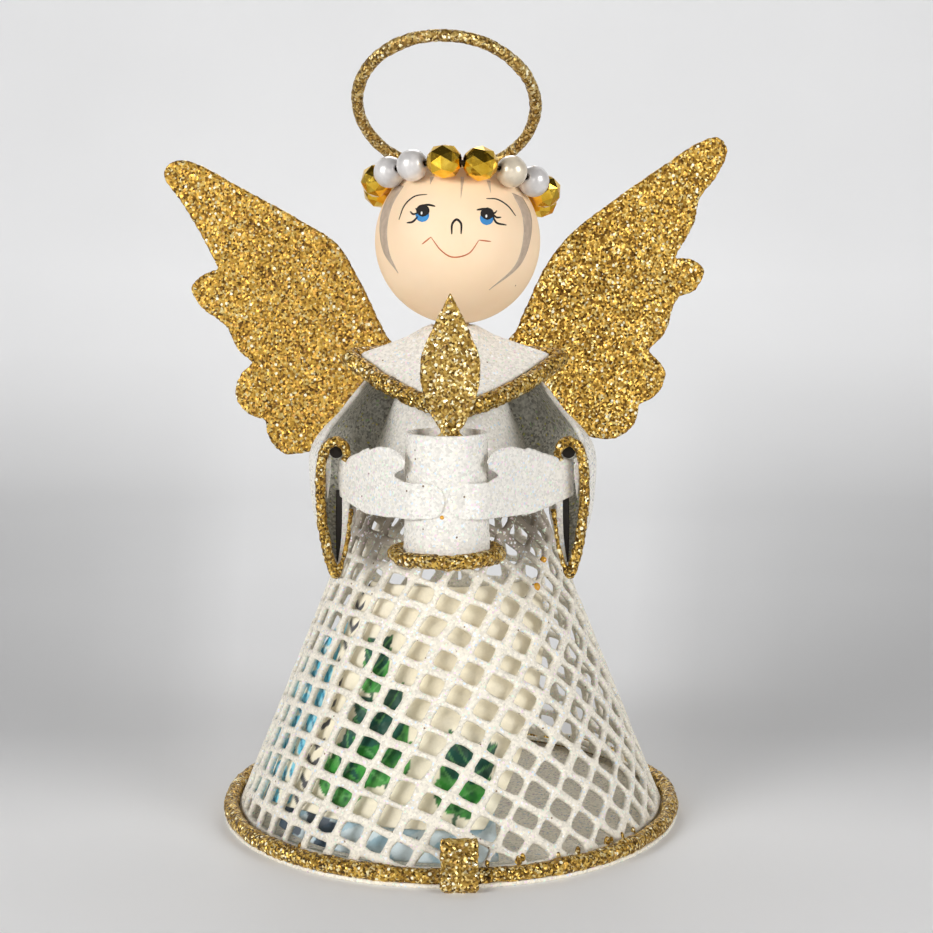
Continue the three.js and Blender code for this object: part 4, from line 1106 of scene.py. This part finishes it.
def build_bodice():
    lid = BODICE_TOP - SHEET
    outer = [(bodice_radius(z), z) for z in np.linspace(BODICE_BOTTOM, BODICE_TOP, 60)]
    inner = [(bodice_radius(z) - SHEET / CONE_COS, z) for z in np.linspace(lid, BODICE_BOTTOM, 40)]
    rim = bodice_radius(BODICE_TOP) - BODICE_BEVEL
    top = [(rim, BODICE_TOP), (BORE_RADIUS, BODICE_TOP), (BORE_RADIUS, lid)]
    mesh = turned([*outer, *top, *inner], 220)
    cover("bodice", "glitter", roughen(mesh, 0.4, 0.025, 71), WHITE)


def sleeve_surface(side):
    drops, degrees = np.transpose(SLEEVE_INNER_TOP)
    radii = bodice_radius(BODICE_TOP + drops) + GAP + SHEET
    inner = around(np.radians(degrees), radii, drops) - (side * SLEEVE_SHIFT, 0, 0)
    guides = zip((*SLEEVE_TOPS, inner), (*SLEEVE_LOWS, SLEEVE_INNER_LOW))
    runs = [curve(np.concatenate([np.array(tops) + (0, 0, BODICE_TOP), np.array(lows) + (0, 0, CANDLE_FOOT)]),
                  SLEEVE_ROWS) for tops, lows in guides]
    return np.array([curve([run[i] for run in runs], SLEEVE_COLUMNS) for i in range(SLEEVE_ROWS + 1)])


def offset(grid, distance):
    """A grid of points moved square to its surface."""
    normal = np.cross(np.gradient(grid, axis=0), np.gradient(grid, axis=1))
    return grid + normal / np.linalg.norm(normal, axis=2)[..., None] * distance


def on_side(points, side):
    """Points of the right side, put on a side."""
    return points * (side, 1, 1) + (SLEEVE_SHIFT, 0, 0)


def build_sleeves():
    for label, side in SIDES:
        grid = on_side(sleeve_surface(side), side)
        outer, inner = (offset(grid, way * side * SHEET / 2) for way in (1, -1))
        mesh = shell(outer, inner, (0, 1, 0))
        cover(f"sleeve_{label}", "sheet", mesh, WHITE)
        mesh.materials.append(GREY)


def build_cuffs():
    """Each cuff's edging, and what shows inside it: the curl's hole and the deep slot as dark pieces of painted
    shade, the lip and the fold.
    """
    def line(points, steps, depth):
        return np.insert(curve(points, steps), 1, depth, axis=1) + (0, 0, CANDLE_FOOT)

    x, z = CURL_HOLE
    hole = np.array([(x, CUFF_DEPTH + depth, z + CANDLE_FOOT) for depth in CURL_HOLE_DEPTHS])
    edging = line(CUFF_LINE, 240, CUFF_LINE_DEPTH)
    radii = np.interp(np.linspace(0, 1, len(edging)), *zip(*CUFF_LINE_RADII))
    share = np.linspace(0, 1, 5)[None, :, None]
    for label, side in SIDES:
        mesh = tube(on_side(hole, side), CURL_HOLE_RADIUS, 24)
        add_piece(f"curl_hole_shade_{label}", mesh, HOLLOW_SHADE)
        mesh = tube(on_side(edging, side), radii, 18)
        cover(f"cuff_edging_{label}", "glitter", roughen(mesh, 0.42, 0.1, 17 + side), TRIM)
        for name, depth, *edges in CUFF_STRIPS:
            first, second = (line(edge, 24, CUFF_DEPTH + depth)[:, None] for edge in edges)
            front = first * (1 - share) + second * share
            back = front + (0, CUFF_SHEET, 0)
            mesh = shell(on_side(front, side), on_side(back, side))
            add_piece(f"{name}_{label}", mesh, HOLLOW_SHADE if name == "cuff_slot" else WHITE)


# Head, face, crown and halo

def build_head():
    start = math.asin(BORE_RADIUS / HEAD_RADIUS)
    ball = arc((0, 0), HEAD_RADIUS, start - QUARTER, QUARTER, 90)
    profile = [*ball, (0, BORE_TOP), (BORE_RADIUS, BORE_TOP)]
    cover("head", "ball", turned(profile, 180, millimetres(HEAD_PLACE)), SKIN, "head")


def on_ball(spots, lift):
    """Points on the front of the ball at x and z, raised by lift."""
    x, z = np.moveaxis(spots, -1, 0)
    depth = -np.sqrt(np.maximum(HEAD_RADIUS ** 2 - (x ** 2 + z ** 2), 0))
    return np.stack([x, depth, z], axis=-1) * ((HEAD_RADIUS + lift) / HEAD_RADIUS)


def brush(first, second, lift):
    """A thin film of paint on the ball between two edge lines, crowned in the middle."""
    share = np.linspace(0, 1, 7)
    spots = first[:, None] + (second - first)[:, None] * share[:, None]
    crown = lift * np.sqrt(np.maximum(1 - (2 * share - 1) ** 2, 0.04))
    mesh = shell(on_ball(spots, crown[:, None]), on_ball(spots, PAINT_SINK))
    mesh.transform(millimetres(HEAD_PLACE))
    return mesh


def stroke(points, width, lift):
    """A brush line through points, thin at both ends."""
    line = curve(points, 10 * (len(points) - 1))
    ahead = np.gradient(line, axis=0)
    across = np.column_stack([-ahead[:, 1], ahead[:, 0]]) / np.linalg.norm(ahead, axis=1)[:, None]
    share = np.linspace(0, 1, len(line))
    taper = across * (width / 2 * (0.35 + 0.65 * np.sin(math.pi * share) ** 0.5))[:, None]
    return brush(line + taper, line - taper, lift)


def dab(middle, radius, lift, squash=1.0):
    """A round dab of paint on the ball."""
    rows = np.linspace(-0.999, 0.999, 15)
    half = np.sqrt(1 - rows ** 2)
    edges = [middle + np.column_stack([way * half, rows * squash]) * radius for way in (-1, 1)]
    return brush(*edges, lift)


def build_face():
    def lay(name, mesh, material):
        add_piece(name, mesh, material, "head")

    for label, (first, second) in HAIR.items():
        lay(f"hair_{label}", brush(curve(first, 40), curve(second, 40), PAINT_LIFT), TAUPE)
    share = np.linspace(0, 1, 12)[:, None]
    for k, (high, low) in enumerate(np.array(FRINGE)):
        line = high + (low - high) * share
        half = FRINGE_WIDTH / 2 * (1 - share) * (1, 0)
        lay(f"fringe_{k + 1}", brush(line - half, line + half + (FRINGE_TIP, 0), PAINT_LIFT), TAUPE)
    for label, x, z in EYES:
        lay(f"iris_{label}", dab((x - 0.02, z - 0.52), PUPIL_RADIUS * 1.02, PAINT_LIFT), IRIS)
        lay(f"pupil_{label}", dab((x, z), PUPIL_RADIUS, 0.055, 0.92), INK)
        lay(f"catchlight_{label}", dab((x - 0.1, z - 0.3), 0.15, 0.085, 1.2), CATCHLIGHT)
    for k, (width, points) in enumerate(INK_STROKES):
        lay(f"ink_{k + 1:02d}", stroke(points, width, 0.045), INK)
    for k, points in enumerate(MOUTH):
        lay(f"mouth_{k + 1}", stroke(points, MOUTH_WIDTH, 0.04), LIP)


def faceted_bead(place, seed):
    """A cut bead: rows of facets set half a step from each other."""
    sides = BEAD_SIDES
    points, faces = [], []
    for height, radius, phase in BEAD_ROWS:
        turn = 2 * math.pi * (np.arange(sides) + phase) / sides + BEAD_TURN * seed
        row = np.column_stack([radius * np.cos(turn), radius * np.sin(turn), np.full(sides, height)])
        points.extend(row * BEAD_RADIUS)
    last = (len(BEAD_ROWS) - 1) * sides
    steps = [(k, (k + 1) % sides) for k in range(sides)]
    for low, (_, _, phase) in zip(range(0, last, sides), BEAD_ROWS):
        for k, n in steps:
            a, b, c, d = low + k, low + n, low + sides + n, low + sides + k
            faces += [(a, b, d), (b, c, d)] if phase == 0 else [(a, c, d), (a, b, c)]
    faces += [(k, last + k, last + n, n) for k, n in steps]
    mesh = mesh_from(points, faces, smooth=False)
    mesh.transform(place)
    return mesh


def build_crown():
    beads = (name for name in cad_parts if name.startswith(("pearl_", "gold_bead_")))
    names = sorted(beads, key=lambda name: name[-2:])
    packed = [Vector(box_middle(name)) for name in names]
    front = min(packed, key=lambda place: place[1])
    raised = (Matrix.Translation(front - Vector((0, 0, CROWN_DROP))) @ Matrix.Rotation(CROWN_RAISE, 4, "X")
              @ Matrix.Translation(-front))
    ball = HEAD_PLACE.translation
    centres = []
    for name, place in zip(names, packed):
        size = PEARL_RADIUS if name.startswith("pearl") else BEAD_RADIUS
        centres.append(ball + (raised @ place - ball).normalized() * (HEAD_RADIUS + size + CROWN_CLEAR))
    wire = tube(centres, CROWN_WIRE, 12, closed=True)
    cover("crown_wire", "ring", wire, WIRE, "head")
    start = math.acos(PEARL_BORE / PEARL_RADIUS)
    pearl = arc((0, 0), PEARL_RADIUS, -start, start, 28)
    for k, name in enumerate(names):
        axis = centres[(k + 1) % len(names)] - centres[k - 1]
        turn = axis.normalized().to_track_quat("Z", "X").to_matrix().to_4x4()
        place = Matrix.Translation(centres[k] * MM) @ turn
        if name.startswith("pearl"):
            material = CREAM_PEARL if k == CREAM_PLACE else PEARL
            cover(name, "bead", turned(pearl, 48, place), material, "head")
        else:
            piece = cover(name, "bead", faceted_bead(place, k), BEAD, "head")
            edges = piece.modifiers.new("Bevel", "BEVEL")
            edges.width = BEAD_BEVEL * MM
            edges.segments = 2


def build_halo():
    ring = arc((0, 0), HALO_RADIUS, 0, 2 * math.pi, HALO_STEPS, whole=True)
    path = [HALO_PLACE @ Vector((x, y, 0)) for x, y in ring]
    loop = roughen(tube(path, HALO_WIRE, 24, closed=True), 3, 0.06, 81)
    cover("halo", "ring", roughen(loop, 0.4, 0.07, 82), HALO_GOLD, "head")
    low = HALO_PLACE @ Vector((0, HALO_RADIUS, 0))
    middle = HEAD_PLACE.translation
    end = middle + (low - middle).normalized() * (HEAD_RADIUS - STEM_SINK)
    stem = tube([low.lerp(end, t) for t in np.linspace(0, 1, 60)], STEM_RADIUS, 20)
    add_piece("halo.stem", roughen(stem, 0.4, 0.06, 83), HALO_GOLD, "head")


def build_drops():
    """Glue drops on the net and the candle, and gold smears along the hem."""
    def drop(name, place, size, material, stretch=(1, 1)):
        profile = arc((0, 0), size * np.array(stretch), -QUARTER, QUARTER, 14)
        mesh = turned(profile, 24, Matrix.Translation(Vector(place) * MM))
        add_piece(name, roughen(mesh, 0.3, 0.1 * size, 91), material)

    def on_skirt(degrees, height):
        return around(math.radians(degrees), skirt_radius(height) - DROP_SINK, height)

    for k, (degrees, height, size) in enumerate(NET_DROPS):
        drop(f"glue_drop_{k + 1}", on_skirt(degrees, height), size, GLUE)
    drop("candle_drop", CANDLE_DROP, CANDLE_DROP_SIZE, GLUE)
    for k, (degrees, height, size) in enumerate(HEM_SMEARS):
        drop(f"hem_smear_{k + 1}", on_skirt(degrees, height), size, TRIM, SMEAR_STRETCH)


# Camera, lights and stage

def build_camera():
    data = bpy.data.cameras.new("camera")
    data.lens = CAMERA_LENS
    data.sensor_width = SENSOR
    data.clip_start = 1 * MM
    camera = bpy.data.objects.new("camera", data)
    camera.location = Vector(CAMERA_PLACE) * MM
    camera.rotation_euler = (QUARTER - CAMERA_PITCH, 0, 0)
    link(camera)
    bpy.context.scene.camera = camera


def stage_painted_shade():
    """Grey paper with painted light and shade: darker outward along the view's edges, and paler towards the
    front.
    """
    graph = Graph("sweep")
    far = graph.axis("Y")
    share = graph.line(far, 1 / (STAGE_TONE_REACH * MM), -STAGE_TONE_START / STAGE_TONE_REACH)
    tone = graph.ramp(share, [(position, (grey, grey, grey)) for position, grey in STAGE_LIGHT_AND_SHADE_TONES])
    cloud = graph.ramp(graph.noise(120), ((0.3, 0.96), (0.7, 1)))
    aside = graph.math("ABSOLUTE", graph.math("SUBTRACT", graph.axis("X"), STAGE_MIDDLE * MM))
    reach = graph.line(far, STAGE_FAN, -STAGE_FAN_START * STAGE_FAN * MM)
    # Painted shade at the view's edges
    edges = graph.ramp(graph.math("DIVIDE", aside, reach), STAGE_EDGE_SHADE)
    shaded = graph.mix(graph.ramp(share, STAGE_EDGE_SHADE_SHARES), (1, 1, 1, 1), edges)
    return graph.shade(Base_Color=graph.multiply(graph.multiply(tone, cloud), shaded), Roughness=0.75)


def build_stage():
    floor = [(y, 0) for y in np.linspace(STAGE_FRONT, STAGE_BEND, 30)]
    curl = arc((STAGE_BEND, STAGE_BEND_RADIUS), STAGE_BEND_RADIUS, BEND_START - QUARTER, 0, 24)
    wall = [(STAGE_BEND + STAGE_BEND_RADIUS, z) for z in np.linspace(STAGE_WALL, STAGE_TOP, 14)]
    profile = [*floor, *curl, *wall]
    wide = np.linspace(-STAGE_HALF, STAGE_HALF, 30)
    points = [(x, y, z) for y, z in profile for x in wide]
    mesh = mesh_from(points, grid_faces(len(profile), len(wide)))
    mesh.materials.append(stage_painted_shade())
    sweep = bpy.data.objects.new("sweep", mesh)
    link(sweep)


def build_light():
    """A dark ceiling over a pale room, soft boxes round the front, and lamps for wall and floor."""
    graph = Graph("studio", "worlds", "Background")
    share = graph.ramp(graph.axis("Z", "Generated"), ((0, 0), (ROOM_REACH, 1)))
    bpy.context.scene.world = graph.shade(Color=graph.mix(share, ROOM_LOW, ROOM_HIGH))
    for name, place, target, (width, height), power in LAMPS:
        data = bpy.data.lights.new(name, "AREA")
        data.shape = "RECTANGLE"
        data.size = width * MM
        data.size_y = height * MM
        data.energy = power
        light = bpy.data.objects.new(name, data)
        light.location = Vector(place) * MM
        light.visible_camera = False
        light.rotation_euler = (Vector(target) - Vector(place)).to_track_quat("-Z", "Y").to_euler()
        link(light)
    bpy.context.scene.view_settings.view_transform = "Standard"


def finish_peg():
    """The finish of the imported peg, whose shape stays as it is."""
    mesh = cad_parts["neck_peg"].data
    mesh.materials.clear()
    mesh.materials.append(WOOD)


build_camera()
build_stage()
build_light()
build_base()
build_crease()
build_sheets()
build_candle()
build_arms()
build_wings()
build_net()
build_skirt_edges()
build_paper()
build_bodice()
build_sleeves()
build_cuffs()
build_head()
build_face()
build_crown()
build_halo()
build_drops()
finish_peg()
